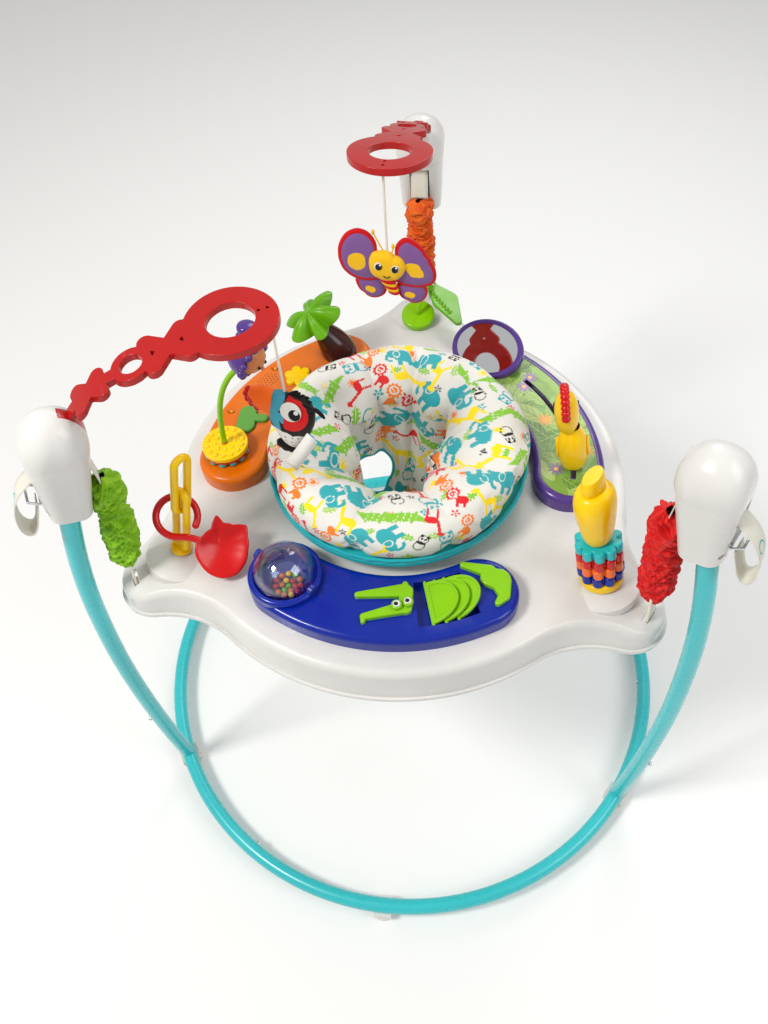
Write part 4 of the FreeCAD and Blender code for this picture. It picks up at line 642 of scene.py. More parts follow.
def sun_mark(x, y):
    """Disc with short rays."""
    reach, turn = np.hypot(x, y), np.arctan2(y, x)
    return (reach < 0.5) | ((reach > 0.6) & (reach < 0.95) & (np.cos(12 * turn) > 0.25))


def oval(x, y, centre_x, centre_y, half_x, half_y):
    """Points inside an ellipse."""
    return ((x - centre_x) / half_x) ** 2 + ((y - centre_y) / half_y) ** 2 < 1


def elephant_mark(x, y):
    """Plain round animal with an ear line, trunk and legs."""
    body = oval(x, y, 0.1, 0.05, 0.62, 0.5) | oval(x, y, -0.55, 0.2, 0.36, 0.34)
    trunk = (np.abs(np.hypot(x + 0.6, y + 0.15) - 0.36) < 0.1) & (x < -0.6)
    legs = (y < 0) & (y > -0.85) & ((np.abs(x + 0.15) < 0.14) | (np.abs(x - 0.45) < 0.14))
    ear = np.abs(np.hypot((x + 0.3) / 0.8, y - 0.2) - 0.26) < 0.035
    return (body | trunk | legs) & ~ear


def giraffe_mark(x, y):
    """Plain long-necked animal."""
    body = oval(x, y, 0.3, -0.1, 0.42, 0.24)
    neck = (np.abs(x + 0.1 + 0.42 * y) < 0.1) & (y > -0.1) & (y < 0.8)
    head = oval(x, y, -0.5, 0.82, 0.26, 0.13)
    legs = (y < -0.1) & (y > -0.95) & ((np.abs(x) < 0.07) | (np.abs(x - 0.6) < 0.07))
    return body | neck | head | legs


def lion_mark(x, y):
    """Plain maned animal."""
    reach, turn = np.hypot(x + 0.3, y - 0.25), np.arctan2(y - 0.25, x + 0.3)
    mane = (reach < 0.46 + 0.05 * np.cos(11 * turn)) & (reach > 0.3)
    face = (reach < 0.2) & (np.abs(y - 0.22) > 0.03)
    legs = (y < -0.2) & (y > -0.8) & (np.abs(np.abs(x - 0.3) - 0.22) < 0.09)
    return mane | face | legs | oval(x, y, 0.35, -0.25, 0.4, 0.3)


def lizard_mark(x, y):
    """Plain long reptile with a spotted back."""
    spine = 0.16 * np.sin(2.6 * x)
    width = 0.24 * np.clip(1 - np.abs(x) ** 1.6, 0, 1) + 0.02
    body = (np.abs(y - spine) < width) & (np.abs(x) < 1)
    legs = (np.abs(y - spine) < 0.34) & ((np.abs(x - 0.3) < 0.06) | (np.abs(x + 0.35) < 0.06))
    spots = (np.sin(24 * x) > 0.75) & (np.sin(30 * y) > 0.3) & (np.abs(x) < 0.45)
    return (body | legs) & ~spots


def bear_mark(x, y):
    """Two-tone sitting animal, drawn in its dark patches."""
    ears = oval(x, y, -0.3, 0.75, 0.16, 0.16) | oval(x, y, 0.3, 0.75, 0.16, 0.16)
    eyes = oval(x, y, -0.17, 0.45, 0.11, 0.14) | oval(x, y, 0.17, 0.45, 0.11, 0.14)
    rim = np.abs(np.hypot(x / 0.46, (y - 0.42) / 0.42) - 1) < 0.09
    belly = (np.abs(np.hypot(x / 0.5, (y + 0.4) / 0.5) - 1) < 0.09) | oval(x, y, 0, -0.02, 0.5, 0.16)
    return ears | eyes | rim | belly


PRINT_TEAL = (0.16, 0.64, 0.67)
PRINT_GREEN = (0.50, 0.75, 0.18)
PRINT_YELLOW = (0.96, 0.84, 0.05)
PRINT_RED = (0.84, 0.08, 0.12)
PRINT_ORANGE = (0.94, 0.48, 0.14)
BIG_MARKS = ((elephant_mark, PRINT_TEAL, 23), (lion_mark, PRINT_ORANGE, 19), (lizard_mark, PRINT_GREEN, 26),
             (giraffe_mark, PRINT_YELLOW, 25), (lion_mark, PRINT_RED, 19), (bear_mark, BLACK, 14),
             (elephant_mark, PRINT_TEAL, 21), (giraffe_mark, PRINT_RED, 20), (lizard_mark, PRINT_GREEN, 24),
             (giraffe_mark, PRINT_YELLOW, 23), (bear_mark, PRINT_TEAL, 19))
SMALL_MARKS = ((leaf_mark, PRINT_GREEN, 11), (flower_mark, PRINT_RED, 6.5), (sun_mark, PRINT_YELLOW, 8),
               (leaf_mark, PRINT_GREEN, 9), (flower_mark, PRINT_TEAL, 7), (leaf_mark, (0.62, 0.78, 0.35), 12),
               (flower_mark, BLACK, 5.5), (sun_mark, PRINT_ORANGE, 7))
CELL = 37.0  # Spacing of the print's marks, in millimetres.


def printed_colour(a, b, seed):
    """Print over cloth places a and b in millimetres: big marks on a jittered grid, small ones between."""
    random = np.random.default_rng(seed)
    colour = np.tile(np.array(linear(CLOTH_WHITE)), (len(a), 1))
    low_a, high_a, low_b, high_b = a.min(), a.max(), b.min(), b.max()
    for marks, offset in ((SMALL_MARKS, 0.5), (BIG_MARKS, 0.0)):
        count = 0
        for row in range(int((high_b - low_b) / CELL) + 2):
            for column in range(int((high_a - low_a) / CELL) + 2):
                jitter = random.uniform(-0.12, 0.12, 2) * CELL
                turn = random.uniform(0, TAU)
                mark, shade, size = marks[(count * 5 + row * 3) % len(marks)]
                count += 1
                centre_a = low_a + (column + 0.5 * (row % 2) + offset) * CELL + jitter[0]
                centre_b = low_b + (row + 0.5 * offset) * CELL * 0.9 + jitter[1]
                near = (np.abs(a - centre_a) < size) & (np.abs(b - centre_b) < size)
                x, y = (a[near] - centre_a) / size, (b[near] - centre_b) / size
                across = x * math.cos(turn) + y * math.sin(turn)
                along = y * math.cos(turn) - x * math.sin(turn)
                inside = mark(across, along)
                colour[np.flatnonzero(near)[inside]] = linear(shade)
    return colour


def store_print(piece, colour):
    """Keep a colour for each point of a piece."""
    layer = piece.data.color_attributes.new("print", "FLOAT_COLOR", "POINT")
    layer.data.foreach_set("color", np.asarray(colour, np.float32).ravel())


def point_map(piece):
    """Each point's cloth coordinates in metres, read from the corners that meet there."""
    mesh = piece.data
    corner = np.zeros(len(mesh.loops), int)
    mesh.loops.foreach_get("vertex_index", corner)
    flat = np.zeros(len(mesh.loops) * 2, np.float32)
    mesh.uv_layers[0].data.foreach_get("uv", flat)
    where = np.zeros((len(mesh.vertices), 2))
    where[corner[::-1]] = flat.reshape(-1, 2)[::-1]
    return where


# ---- seat ---------------------------------------------------------------------------------------
PAD_LOW, PAD_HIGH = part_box("seat_pad")
PAD_MIDDLE = 0.1225
PAD_HALF = (0.0365, 0.0245)
RING_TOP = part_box("seat_ring")[1].z
RING_HOLE = 0.118
# Deep creases across the pad: angle in degrees, depth in millimetres, half width in degrees.
CREASES = ((48, 17, 8), (84, 22, 7), (113, 17, 6), (148, 13, 8),
           (207, 22, 9), (256, 13, 7), (300, 10, 7), (338, 17, 9))


def turn_between(degrees, angle):
    """Signed turn from an angle, from -180 to 180 degrees."""
    return (degrees - angle + 180.0) % 360.0 - 180.0


def near_turn(turn, angle, width):
    """Soft bump from 0 to 1 round an angle in degrees."""
    return np.exp(-(turn_between(np.degrees(turn), angle) / width) ** 2)


def creased(turn):
    """Depth of the pad's creases round the ring, in metres."""
    depth = np.zeros_like(turn)
    for angle, deep, width in CREASES:
        depth = depth + deep * MM * np.exp(-np.abs(turn_between(np.degrees(turn), angle)) / width)
    return depth


def well_radius(turn):
    """How far in the slumped pad reaches round the ring."""
    reach = 73 - 42 * near_turn(turn, -14, 42) - 28 * near_turn(turn, 188, 34) + 3 * near_turn(turn, 95, 30)
    reach = reach - 12 * near_turn(turn, 262, 30) - 8 * near_turn(turn, 66, 10) - 8 * near_turn(turn, 130, 12)
    return reach * MM + 0.8 * creased(turn)


def pad_form(u, v):
    """Padded ring before it is blown up: soft section, slumped inward, creased across."""
    turn = TAU * u
    around = TAU * v
    middle = (PAD_LOW.z + PAD_HIGH.z) / 2
    wide, tall = PAD_HALF
    cosine, sine = np.cos(around), np.sin(around)
    inward = np.clip(-cosine, 0, 1)
    inner = (PAD_MIDDLE - well_radius(turn)) * 0.98
    gathers = 0.5 * np.sin(31 * turn + 1.5 * np.sin(3 * turn))
    gathers = gathers + 0.4 * np.sin(47 * turn + 2 * np.sin(2 * turn))
    lumps = np.sin(5 * turn + 1.0) * np.sin(2 * around) + 0.8 * np.sin(9 * turn + 2) * np.cos(3 * around)
    half = np.where(cosine > 0, wide * 0.98, inner)
    reach = PAD_MIDDLE + half * np.sign(cosine) * np.abs(cosine) ** 0.85
    height = middle + tall * 0.94 * np.sign(sine) * np.abs(sine) ** 0.85
    slump = (12 + 0.62 * (inner - wide) / MM) * MM
    height = height - slump * inward ** 1.5
    across = np.clip(1.15 - np.abs(cosine + 0.45) ** 1.3, 0, 1) * np.clip(1.2 + 1.5 * sine, 0, 1)
    height = height - creased(turn) * across * 0.95
    bulge = np.cos(4 * around + 6 * np.sin(2 * turn)) * np.sin(13 * turn + 2.2 * np.sin(4 * turn))
    ripple = 0.9 * gathers * np.sin(4 * around + 7 * turn)
    height = height + (1.6 * lumps + (1.2 * bulge + ripple) * inward) * MM
    reach = reach + 0.8 * MM * gathers * inward
    return reach * np.cos(turn), reach * np.sin(turn), height


def simulate(piece, cap):
    """Blow a closed cloth piece up, limit how far its points move, and keep the result as its mesh."""
    before = points_of(piece)
    made = add_modifier(piece, "CLOTH")
    settings = made.settings
    settings.quality = 6
    settings.mass = 0.2
    settings.use_pressure = True
    settings.uniform_pressure_force = 4.0
    settings.tension_stiffness = 12
    settings.compression_stiffness = 12
    settings.bending_stiffness = 0.4
    settings.shrink_min = -0.05
    settings.effector_weights.gravity = 0
    scene = bpy.context.scene
    scene.frame_start = 1
    for step in range(1, 21):
        scene.frame_set(step)
    applied(piece)
    scene.frame_set(1)
    after = points_of(piece)
    move = after - before
    length = np.linalg.norm(move, axis=1, keepdims=True)
    after = before + move * np.minimum(1.0, cap / np.maximum(length, 1e-9))
    piece.data.vertices.foreach_set("co", after.astype(np.float32).ravel())
    piece.data.update()


def rest_on(piece, height, beyond):
    """Flatten whatever hangs below a height outside a radius."""
    for vertex in piece.data.vertices:
        if math.hypot(vertex.co.x, vertex.co.y) > beyond:
            vertex.co.z = max(vertex.co.z, height)


def make_pad():
    """Padded seat top with its print."""
    size = (TAU * PAD_MIDDLE, 0.215)
    pad = surface("seat_cushion", pad_form, 288, 60, "print", size, True, True)
    simulate(pad, 0.006)
    smoothed(pad, 2)
    applied(pad)
    rest_on(pad, RING_TOP + 0.4 * MM, RING_HOLE)
    spots = points_of(pad) / MM
    reach = np.hypot(spots[:, 0], spots[:, 1])
    drop = np.clip(PAD_HIGH.z / MM - spots[:, 2], 0, None)
    # Unrolled radius: the print runs down both sides of the crown without stretching far.
    unrolled = np.clip(np.where(reach > PAD_MIDDLE / MM, reach + drop, reach - 0.45 * drop), 4, None) / reach
    store_print(pad, printed_colour(spots[:, 0] * unrolled, spots[:, 1] * unrolled, 5))
    put(pad, "seat", ["seat_pad"])


SLING_TOP = 0.602
SLING_DEPTH = 0.150
# Leg openings: middle and half width in degrees round the pouch, then down it as shares of its depth.
LEG_HOLES = ((132.0, 27.0, 0.66, 0.17), (20.0, 27.0, 0.66, 0.17))


def sling_form(u, v):
    """Seat pouch: hangs from the pad's inner edge, with soft pleats that fade towards the bottom."""
    turn, drop = TAU * u, v
    start = well_radius(turn) + 7 * MM
    radius = start * (1 - drop) ** 0.5 * 0.35 + 0.65 * start * (1 - drop ** 3) + 0.012 * drop
    pleat = (np.sin(11 * turn + 0.7) + 0.6 * np.sin(19 * turn)) * 0.0022 * (1 - drop) ** 0.6
    billow = 0.007 * np.sin(3 * turn + 0.4) * np.sin(math.pi * drop)
    wrinkle = 0.0011 * np.sin(26 * turn + 8 * drop) * np.sin(9 * drop + 4 * turn)
    radius = radius + (pleat + billow + wrinkle) * np.clip(4 * (1 - drop), 0, 1)
    height = SLING_TOP - SLING_DEPTH * (drop ** 0.9)
    return radius * np.cos(turn), radius * np.sin(turn), height


def sling_keep(u, v):
    """False inside the two leg openings."""
    for angle, half_turn, drop, half_drop in LEG_HOLES:
        away = turn_between(u * 360.0, angle)
        if (away / half_turn) ** 2 + ((v - drop) / half_drop) ** 2 < 1:
            return False
    return True


def make_sling():
    """Thin cloth pouch with bound leg openings."""
    size = (TAU * 0.075, 0.19)
    sling = surface("seat_pouch", sling_form, 260, 90, "print", size, True, False, sling_keep)
    add_modifier(sling, "SMOOTH", factor=0.5, iterations=3)
    smoothed(sling, 1)
    applied(sling)
    where = point_map(sling) / MM
    store_print(sling, printed_colour(where[:, 0], where[:, 1], 11))
    add_modifier(sling, "SOLIDIFY", thickness=1.4 * MM, offset=0.0)
    applied(sling)
    put(sling, "seat", ["seat_sling"])
    for number, (angle, half_turn, drop, half_drop) in enumerate(LEG_HOLES, 1):
        points = []
        for step in range(28):
            swing = TAU * step / 28
            u = np.array(((angle + (half_turn + 1) * math.cos(swing)) / 360.0) % 1.0)
            v = np.array(drop + (half_drop + 0.006) * math.sin(swing))
            points.append(tuple(float(part) for part in sling_form(u, v)))
        put(tube("leg_binding_%d" % number, points, 2.0 * MM, "hem_teal", True), "seat")


def make_trim():
    """Piped teal hem round the pad's foot."""
    def form(u, v):
        turn, around = TAU * u, TAU * v
        radius = 0.1588 + 0.0022 * np.cos(around) + 0.0004 * np.sin(40 * turn)
        height = RING_TOP + 0.0035 + 0.0032 * np.sin(around)
        return radius * np.cos(turn), radius * np.sin(turn), height
    trim = surface("seat_piping", form, 240, 12, "hem_teal", (1.0, 0.02), True, True)
    put(trim, "seat")


# ---- spring sleeves -----------------------------------------------------------------------------
SPRING_RADIUS = 9 * MM


def spring_axis(height):
    """How far out from the middle a spring's leaning axis lies at a height."""
    return 0.332 + (0.730 - height) * 0.097


def folds(u, v, seed):
    """Gathered cloth: broad facets between sharp crossing creases, about 0 to 1."""
    random = np.random.default_rng(seed)
    layers = []
    for _ in range(9):
        rings = random.uniform(2.5, 8.5)
        turns = int(random.integers(-3, 4))
        shift, bend = random.uniform(0, TAU, 2)
        sway = 1.5 * np.sin(TAU * u * int(random.integers(1, 3)) + bend) + 1.1 * np.sin(TAU * 1.7 * v + shift)
        layers.append(1 - np.abs(np.sin((TAU * (rings * v + turns * u) + shift + sway) / 2)))
    order = np.sort(np.array(layers), axis=0)
    fine = np.sin(TAU * (21 * v + 2 * u) + 2 * np.sin(TAU * u * 2 + 9 * v)) * np.sin(TAU * 3 * u + 14 * v)
    return 0.6 * order[-1] ** 4 + 0.4 * order[-2] ** 3 + 0.3 * order.mean(axis=0) + 0.06 * fine


def make_sleeve(side, colour, seed):
    """Gathered sleeve that stretches from the housing to the tray."""
    angle = LEGS[side]
    low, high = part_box("sleeve_" + side)
    bottom, top = low.z - 2 * MM, high.z + 1 * MM

    def form(u, v):
        turn = TAU * u
        a, b, c = np.random.default_rng(seed + 1).uniform(0, TAU, 3)
        crease = folds(u, v, seed)
        waist = 15.2 + 1.4 * np.sin(TAU * 1.5 * v + a) + 1.0 * np.sin(TAU * 2.6 * v + b)
        flare = 4.5 * np.exp(-((v - 0.86) / 0.07) ** 2) - 3.0 * np.exp(-((v - 0.66) / 0.07) ** 2)
        lobe = 1.4 * np.sin(2 * turn + 5 * v + c) + 0.9 * np.sin(3 * turn - 4 * v + a)
        close = np.clip(0.3 + v / 0.2, 0, 1) * np.clip(0.30 + (1 - v) / 0.05, 0, 1)
        radius = (waist + flare + lobe + 11.0 * (crease - 0.55)) * MM
        radius = np.clip(radius, 12.2 * MM, 21.5 * MM) * close
        height = bottom + (top - bottom) * v + 1.6 * MM * np.sin(3 * turn + 9 * v)
        sway = 0.5 * MM * np.sin(TAU * 1.1 * v + b)
        out = spring_axis(height) + radius * np.cos(turn) + sway
        side_way = radius * np.sin(turn) + 0.5 * MM * np.sin(TAU * 0.9 * v + c)
        wise = math.radians(angle)
        x = out * math.cos(wise) - side_way * math.sin(wise)
        y = out * math.sin(wise) + side_way * math.cos(wise)
        return x, y, height

    sleeve = surface("spring_sleeve_" + side, form, 88, 170, "sleeve_" + colour, (0.115, 0.24))
    smoothed(sleeve, 1)
    applied(sleeve)
    add_modifier(sleeve, "SOLIDIFY", thickness=0.5 * MM, offset=0.0)
    applied(sleeve)
    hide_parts("sleeve_" + side)
    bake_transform(sleeve)


def make_springs():
    """Coil springs that stretch inside their sleeves."""
    low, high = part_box("springs")
    for side, angle in LEGS.items():
        turns, steps = 24, 12
        points = []
        for step in range(turns * steps + 1):
            share = step / (turns * steps)
            height = low.z + 1.5 * MM + (high.z - low.z - 3 * MM) * share
            swing = TAU * share * turns
            out = spring_axis(height) + SPRING_RADIUS * math.cos(swing)
            points.append(polar(out, angle, height) + polar(SPRING_RADIUS * math.sin(swing), angle + 90))
        coil = tube("spring_coil_" + side, points, 1.3 * MM, "steel", order=3)
        coil.data.bevel_resolution = 2
        coil.data.splines[0].resolution_u = 2
        mesh_coil = bpy.data.objects.new("coil_" + side, bpy.data.meshes.new_from_object(coil))
        bpy.context.scene.collection.objects.link(mesh_coil)
        bpy.data.objects.remove(coil)
        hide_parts("springs")
        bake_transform(mesh_coil)


# ---- hanging toys -------------------------------------------------------------------------------
def make_cord(side, body):
    """Cord that hangs straight from the toy bar."""
    low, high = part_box("toy_cord_" + side)
    middle = (low + high) / 2
    top, bottom = Vector((middle.x, middle.y, high.z)), Vector((middle.x, middle.y, low.z))
    cord = tube("hanging_cord_" + side, [top, top.lerp(bottom, 0.5), bottom], 1.5 * MM, "tape", order=3)
    put(cord, body, ["toy_cord_" + side])
    return bottom


def standing(place, facing, tilt=0.0):
    """Frame that stands a flat toy upright; its plan X runs across and Y runs up."""
    return turned(turned(Matrix.Translation(place), facing, "Z"), 90 - tilt, "X")


def shifted(stand, across, up, forward=0.0, turn=0.0):
    """Frame moved in a toy's own plane, in millimetres, and turned in that plane."""
    return turned(moved(stand, across, up, forward), turn, "Z")


def oval_reach(half_x, half_y):
    """Outline of an ellipse, in millimetres."""
    def outline(angles):
        return MM / np.sqrt((np.cos(angles) / half_x) ** 2 + (np.sin(angles) / half_y) ** 2)
    return outline


def cut_panel(corners):
    """Middle and rounded outline of a cloth panel cut through corners in millimetres."""
    middle_x = sum(x for x, _ in corners) / len(corners)
    middle_y = sum(y for _, y in corners) / len(corners)
    away = [(x - middle_x, y - middle_y) for x, y in corners]
    reach = sorted((math.degrees(math.atan2(y, x)) % 360, math.hypot(x, y)) for x, y in away)
    return middle_x, middle_y, blend_outline(reach)


def within(corners, x, y):
    """True where places x and y, in millimetres, fall inside a panel."""
    middle_x, middle_y, outline = cut_panel(corners)
    fine = np.arange(720) / 720 * TAU
    reach = outline(fine)
    turns = np.arctan2(y - middle_y, x - middle_x) % TAU
    return np.hypot(x - middle_x, y - middle_y) * MM < np.interp(turns, fine, reach, period=TAU)


def patchwork(name, corners, depth, ground, patches, stand, forward=0.0, flat=0.3):
    """Stuffed panel sewn from coloured patches, placed in a toy's own plane."""
    middle_x, middle_y, outline = cut_panel(corners)
    made = pillow(name, outline, depth, "patches", shifted(stand, middle_x, middle_y, forward), flat, 180, 44)
    places = points_of(made) / MM
    x, y = places[:, 0] + middle_x, places[:, 1] + middle_y
    colour = np.tile(np.array(linear(ground)), (len(x), 1))
    for patch, shade in patches:
        colour[within(patch, x, y) & (places[:, 2] > -0.3 * depth / MM)] = linear(shade)
    store_print(made, colour)
    return made


# Cut panels of the bird, in millimetres to the right of and above the end of its cord.
BIRD_BODY = [(-5, 0), (5, -4), (12, -3), (21, -6), (30, -16), (32, -31), (29, -44), (24, -54), (20, -62),
             (15, -68), (8, -72), (0, -69), (-7, -60), (-13, -49), (-18, -41), (-19, -30), (-18, -12),
             (-13, -1)]
BIRD_TEAL = [(-21, 3), (-8, 3), (2, -3), (0, -12), (-6, -19), (-6, -26), (-1, -35), (-3, -44), (-11, -39),
             (-17, -26), (-21, -12)]
BIRD_RED = [(5, -4), (13, -5), (20, -8), (26, -18), (27, -28), (22, -37), (12, -42), (1, -40), (0, -30),
            (6, -20)]
BIRD_BELLY = [(-14, -40), (-2, -45), (9, -50), (24, -52), (22, -64), (13, -75), (0, -75), (-12, -62)]
BIRD_FEET = [(-13, -64), (-6, -62), (4, -68), (12, -72), (10, -79), (1, -77), (-9, -72), (-14, -70)]
BEAK = [(-37, 1), (-28, 3), (-14, 1), (-9, -10), (-11, -31), (-22, -28), (-29, -25), (-36, -20), (-42, -12),
        (-41, -4)]
BEAK_TIP = [(-41, -3), (-37, -8), (-34, -15), (-28, -22), (-29, -28), (-39, -24), (-46, -12), (-44, -3)]


def make_toucan():
    """Stuffed bird: black body, speckled pale belly, coloured bill, big round eye and a blank sewn-in tag."""
    stand = standing(make_cord("left", "bird"), -6.0, 12.0)
    patches = [(BIRD_BELLY, (0.90, 0.87, 0.85)), (BIRD_RED, (0.80, 0.04, 0.07)),
               (BIRD_TEAL, (0.24, 0.60, 0.68))]
    random = np.random.default_rng(8)
    for number in range(11):
        x = -6 + 7 * (number % 4) + random.uniform(-1, 1)
        y = -52 - 5.5 * (number // 4) + random.uniform(-1, 1)
        patches.append(([(x + 0.9, y), (x, y + 1.3), (x - 0.9, y), (x, y - 1.3)], (0.35, 0.62, 0.66)))
    bird = patchwork("stuffed_bird", BIRD_BODY, 13 * MM, (0.03, 0.03, 0.04), patches, stand)
    put(bird, "bird", ["toucan"])
    tip = [(BEAK_TIP, (0.80, 0.03, 0.04))]
    pieces = [patchwork("bird_beak", BEAK, 9 * MM, (1.0, 0.42, 0.06), tip, stand, 1.0)]
    for number, (x, y) in enumerate(((-40, -3), (-42.5, -8), (-41.5, -14), (-37.5, -19.5), (-32, -24))):
        place = moved(stand, x, y, 1)
        pieces.append(ball("bird_beak_frill_%d" % number, place, (4.0, 4.0, 4.6), "plush_red"))
    eye = (("bird_eye", "plush_white", (9.5, -17.5, 12.6), (11.8, 12.8)),
           ("bird_pupil", "plush_black", (13.5, -20.5, 13.6), (6.6, 7.2)),
           ("bird_glint", "white", (16, -16.5, 14.4), (2.7, 2.6)))
    for name, material, spot, half in eye:
        pieces.append(pillow(name, oval_reach(*half), 1.0 * MM, material, moved(stand, *spot), 0.9))
    middle_x, middle_y, outline = cut_panel(BIRD_FEET)
    pieces.append(pillow("bird_feet", outline, 5 * MM, "plush_black", moved(stand, middle_x, middle_y, 2)))
    for number in range(9):
        share = number / 8
        outline = oval_reach(7.5 + random.uniform(-1, 1), 2.2)
        forward, swing = random.uniform(-4, 7), 48 - 95 * share + random.uniform(-22, 22)
        place = shifted(stand, 9 + 29 * share, -2 - 22 * share ** 1.4, forward, swing)
        pieces.append(pillow("bird_tuft_%d" % number, outline, 2.2 * MM, "plush_black", place))
    steps = 12
    points = []
    for share in np.linspace(0, 1, steps + 1):
        curl = 4.5 * math.sin(math.pi * share * 0.9) + 2.0 * share
        for x, y in ((26 - 27 * share, -42 - 41 * share), (37 - 25 * share, -53 - 41 * share)):
            points.append((x * MM, y * MM, (12 + curl) * MM))
    faces = [(2 * row, 2 * row + 1, 2 * row + 3, 2 * row + 2) for row in range(steps)]
    tag = add_object("bird_tag", points, faces, "tag")
    add_modifier(tag, "SOLIDIFY", thickness=0.35 * MM, offset=0.0)
    tag.matrix_world = stand
    pieces.append(tag)
    for piece in pieces:
        put(piece, "bird")


# Cut panels of the butterfly, in millimetres to the right of and above the end of its cord.
WINGS = {
    "upper_left": [(-33, 30), (-24, 27), (-15, 16), (-13, 4), (-14, -14), (-10, -32), (-24, -33), (-38, -29),
                   (-47, -22), (-54, -9), (-55, 3), (-52, 16), (-43, 27)],
    "upper_right": [(21, 16), (32, 9), (43, -5), (50, -18), (55, -31), (54, -42), (43, -46), (27, -45),
                    (12, -39), (5, -33), (8, -18), (11, -4), (12, 8)],
    "lower_left": [(-37, -30), (-24, -33), (-8, -33), (-3, -46), (-6, -54), (-17, -58), (-29, -50),
                   (-36, -41)],
    "lower_right": [(10, -44), (27, -45), (41, -46), (45, -56), (41, -65), (32, -69), (22, -64), (12, -52)],
}
WING_SPOTS = {
    "upper_left": [(-26, -7), (-28, 1), (-36, 4), (-44, 1), (-46, -7), (-42, -15), (-34, -18), (-27, -14)],
    "upper_right": [(21, -14), (29, -14), (38, -22), (41, -32), (33, -32), (24, -26)],
    "lower_left": [(-27, -41), (-21, -42), (-16, -46), (-17, -49), (-24, -48), (-28, -44)],
    "lower_right": [(19, -53), (26, -53), (31, -57), (29, -60), (23, -59), (18, -56)],
}
MOTH_FACE = [(-17, 3), (-8, 4), (8, -3), (17, -7), (21, -16), (18, -26), (11, -33), (3, -34), (-11, -30),
             (-19, -24), (-22, -12), (-21, -3)]


def make_butterfly():
    """Stuffed butterfly: four piped wings with spots, a round face and a striped body."""
    stand = standing(make_cord("rear", "moth"), 8.0, 8.0)
    purple, yellow = (0.47, 0.32, 0.56), (0.92, 0.72, 0.05)
    pieces = []
    for name, corners in WINGS.items():
        behind = -2.5 if "lower" in name else 0.0
        spots = [(WING_SPOTS[name], yellow)]
        pieces.append(patchwork("wing_" + name, corners, 5.5 * MM, purple, spots, stand, behind, 0.5))
        middle_x, middle_y, outline = cut_panel(corners)
        angles = np.arange(48) / 48 * TAU
        place = moved(stand, middle_x, middle_y, behind)
        rim = [place @ polar(far - 2.0 * MM, math.degrees(turn))
               for turn, far in zip(angles, outline(angles))]
        pieces.append(tube("wing_piping_" + name, rim, 3.5 * MM, "plush_red", True))
    pieces.append(patchwork("moth_face", MOTH_FACE, 8 * MM, yellow, [], stand, 4.0, 0.5))
    for side, across, up in ((-1, -11, -11.5), (1, 7.5, -16.5)):
        for name, material, half, spot in (("eye", "plush_white", 5.2, (0, 0, 11.4)),
                                           ("pupil", "black", 4.0, (0.3, -0.3, 12.2)),
                                           ("glint", "white", 1.3, (2.0, 2.2, 12.9))):
            place = moved(moved(stand, across, up, 0), *spot)
            outline = oval_reach(half, half * 1.08)
            name = "moth_%s_%d" % (name, side + 2)
            pieces.append(pillow(name, outline, 0.8 * MM, material, place, 0.9, 32, 5))
    for side, ends in ((-1, ((-4, 2), (-9, 13), (-15, 27))), (1, ((5, -1), (7, 4), (7, 8)))):
        feeler = [moved(stand, x, y, 3).translation for x, y in ends]
        pieces.append(tube("moth_feeler_%d" % (side + 2), feeler, 0.9 * MM, "plush_yellow"))
        pieces.append(ball("moth_feeler_tip_%d" % (side + 2), feeler[-1], (2.0, 2.0, 3.2), "plush_yellow"))
    smile = [moved(stand, -1.5 + 4.0 * math.cos(turn), -23 + 3.4 * math.sin(turn), 12.2).translation
             for turn in np.linspace(math.radians(190), math.radians(330), 9)]
    pieces.append(tube("moth_smile", smile, 0.6 * MM, "plush_black"))
    for number in range(5):
        material = ("plush_red", "plush_yellow")[number % 2]
        outline, depth = oval_reach(10.5 - 0.7 * number, 3.4), (7.5 - 0.6 * number) * MM
        place = shifted(stand, -1 + number * 1.6, -34.5 - number * 4.0, 2, -20)
        pieces.append(pillow("moth_stripe_%d" % number, outline, depth, material, place))
    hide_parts("butterfly")
    for piece in pieces:
        put(piece, "moth")


# ---- palm, figures and teether ------------------------------------------------------------------
def make_palm():
    """Six broad rounded leaves round a crown, each folded along its rib."""
    low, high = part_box("palm_leaves")
    middle = Vector(((low.x + high.x) / 2 - 11 * MM, (low.y + high.y) / 2, high.z - 3 * MM))

    def form(u, v):
        turn = TAU * u
        leaf = 1 - np.abs(np.sin(3 * turn + 0.5)) ** 3
        reach = (25 + 16 * leaf ** 0.7) * (1 + 0.08 * np.sin(2 * turn + 1))
        swing = (np.degrees(turn) + 9.55 + 30) % 60 - 30
        rib = np.exp(-(swing / 3.0) ** 2)
        valley = (1 - leaf) ** 1.5
        height = 7 - 17 * v ** 2.6 - 6 * valley * v + 5 * np.sin(2 * turn + 0.6) * v
        height = height - 3.0 * rib * v * (1 - v ** 5)
        return reach * v * np.cos(turn) * MM, reach * v * np.sin(turn) * MM, height * MM

    crown = surface("palm_crown", form, 240, 28, "palm", (0.2, 0.04))
    weld(crown, 1e-5)
    add_modifier(crown, "SOLIDIFY", thickness=3.6 * MM, offset=-1.0)
    smoothed(crown, 1)
    crown.matrix_world = turned(turned(Matrix.Translation(middle), -24, "Y"), 16, "X")
    put(crown, "palm", ["palm_leaves"])
    hub = ball("palm_hub", middle + Vector((5 * MM, 0, -9 * MM)), (10, 9, 10), "palm")
    put(hub, "palm")


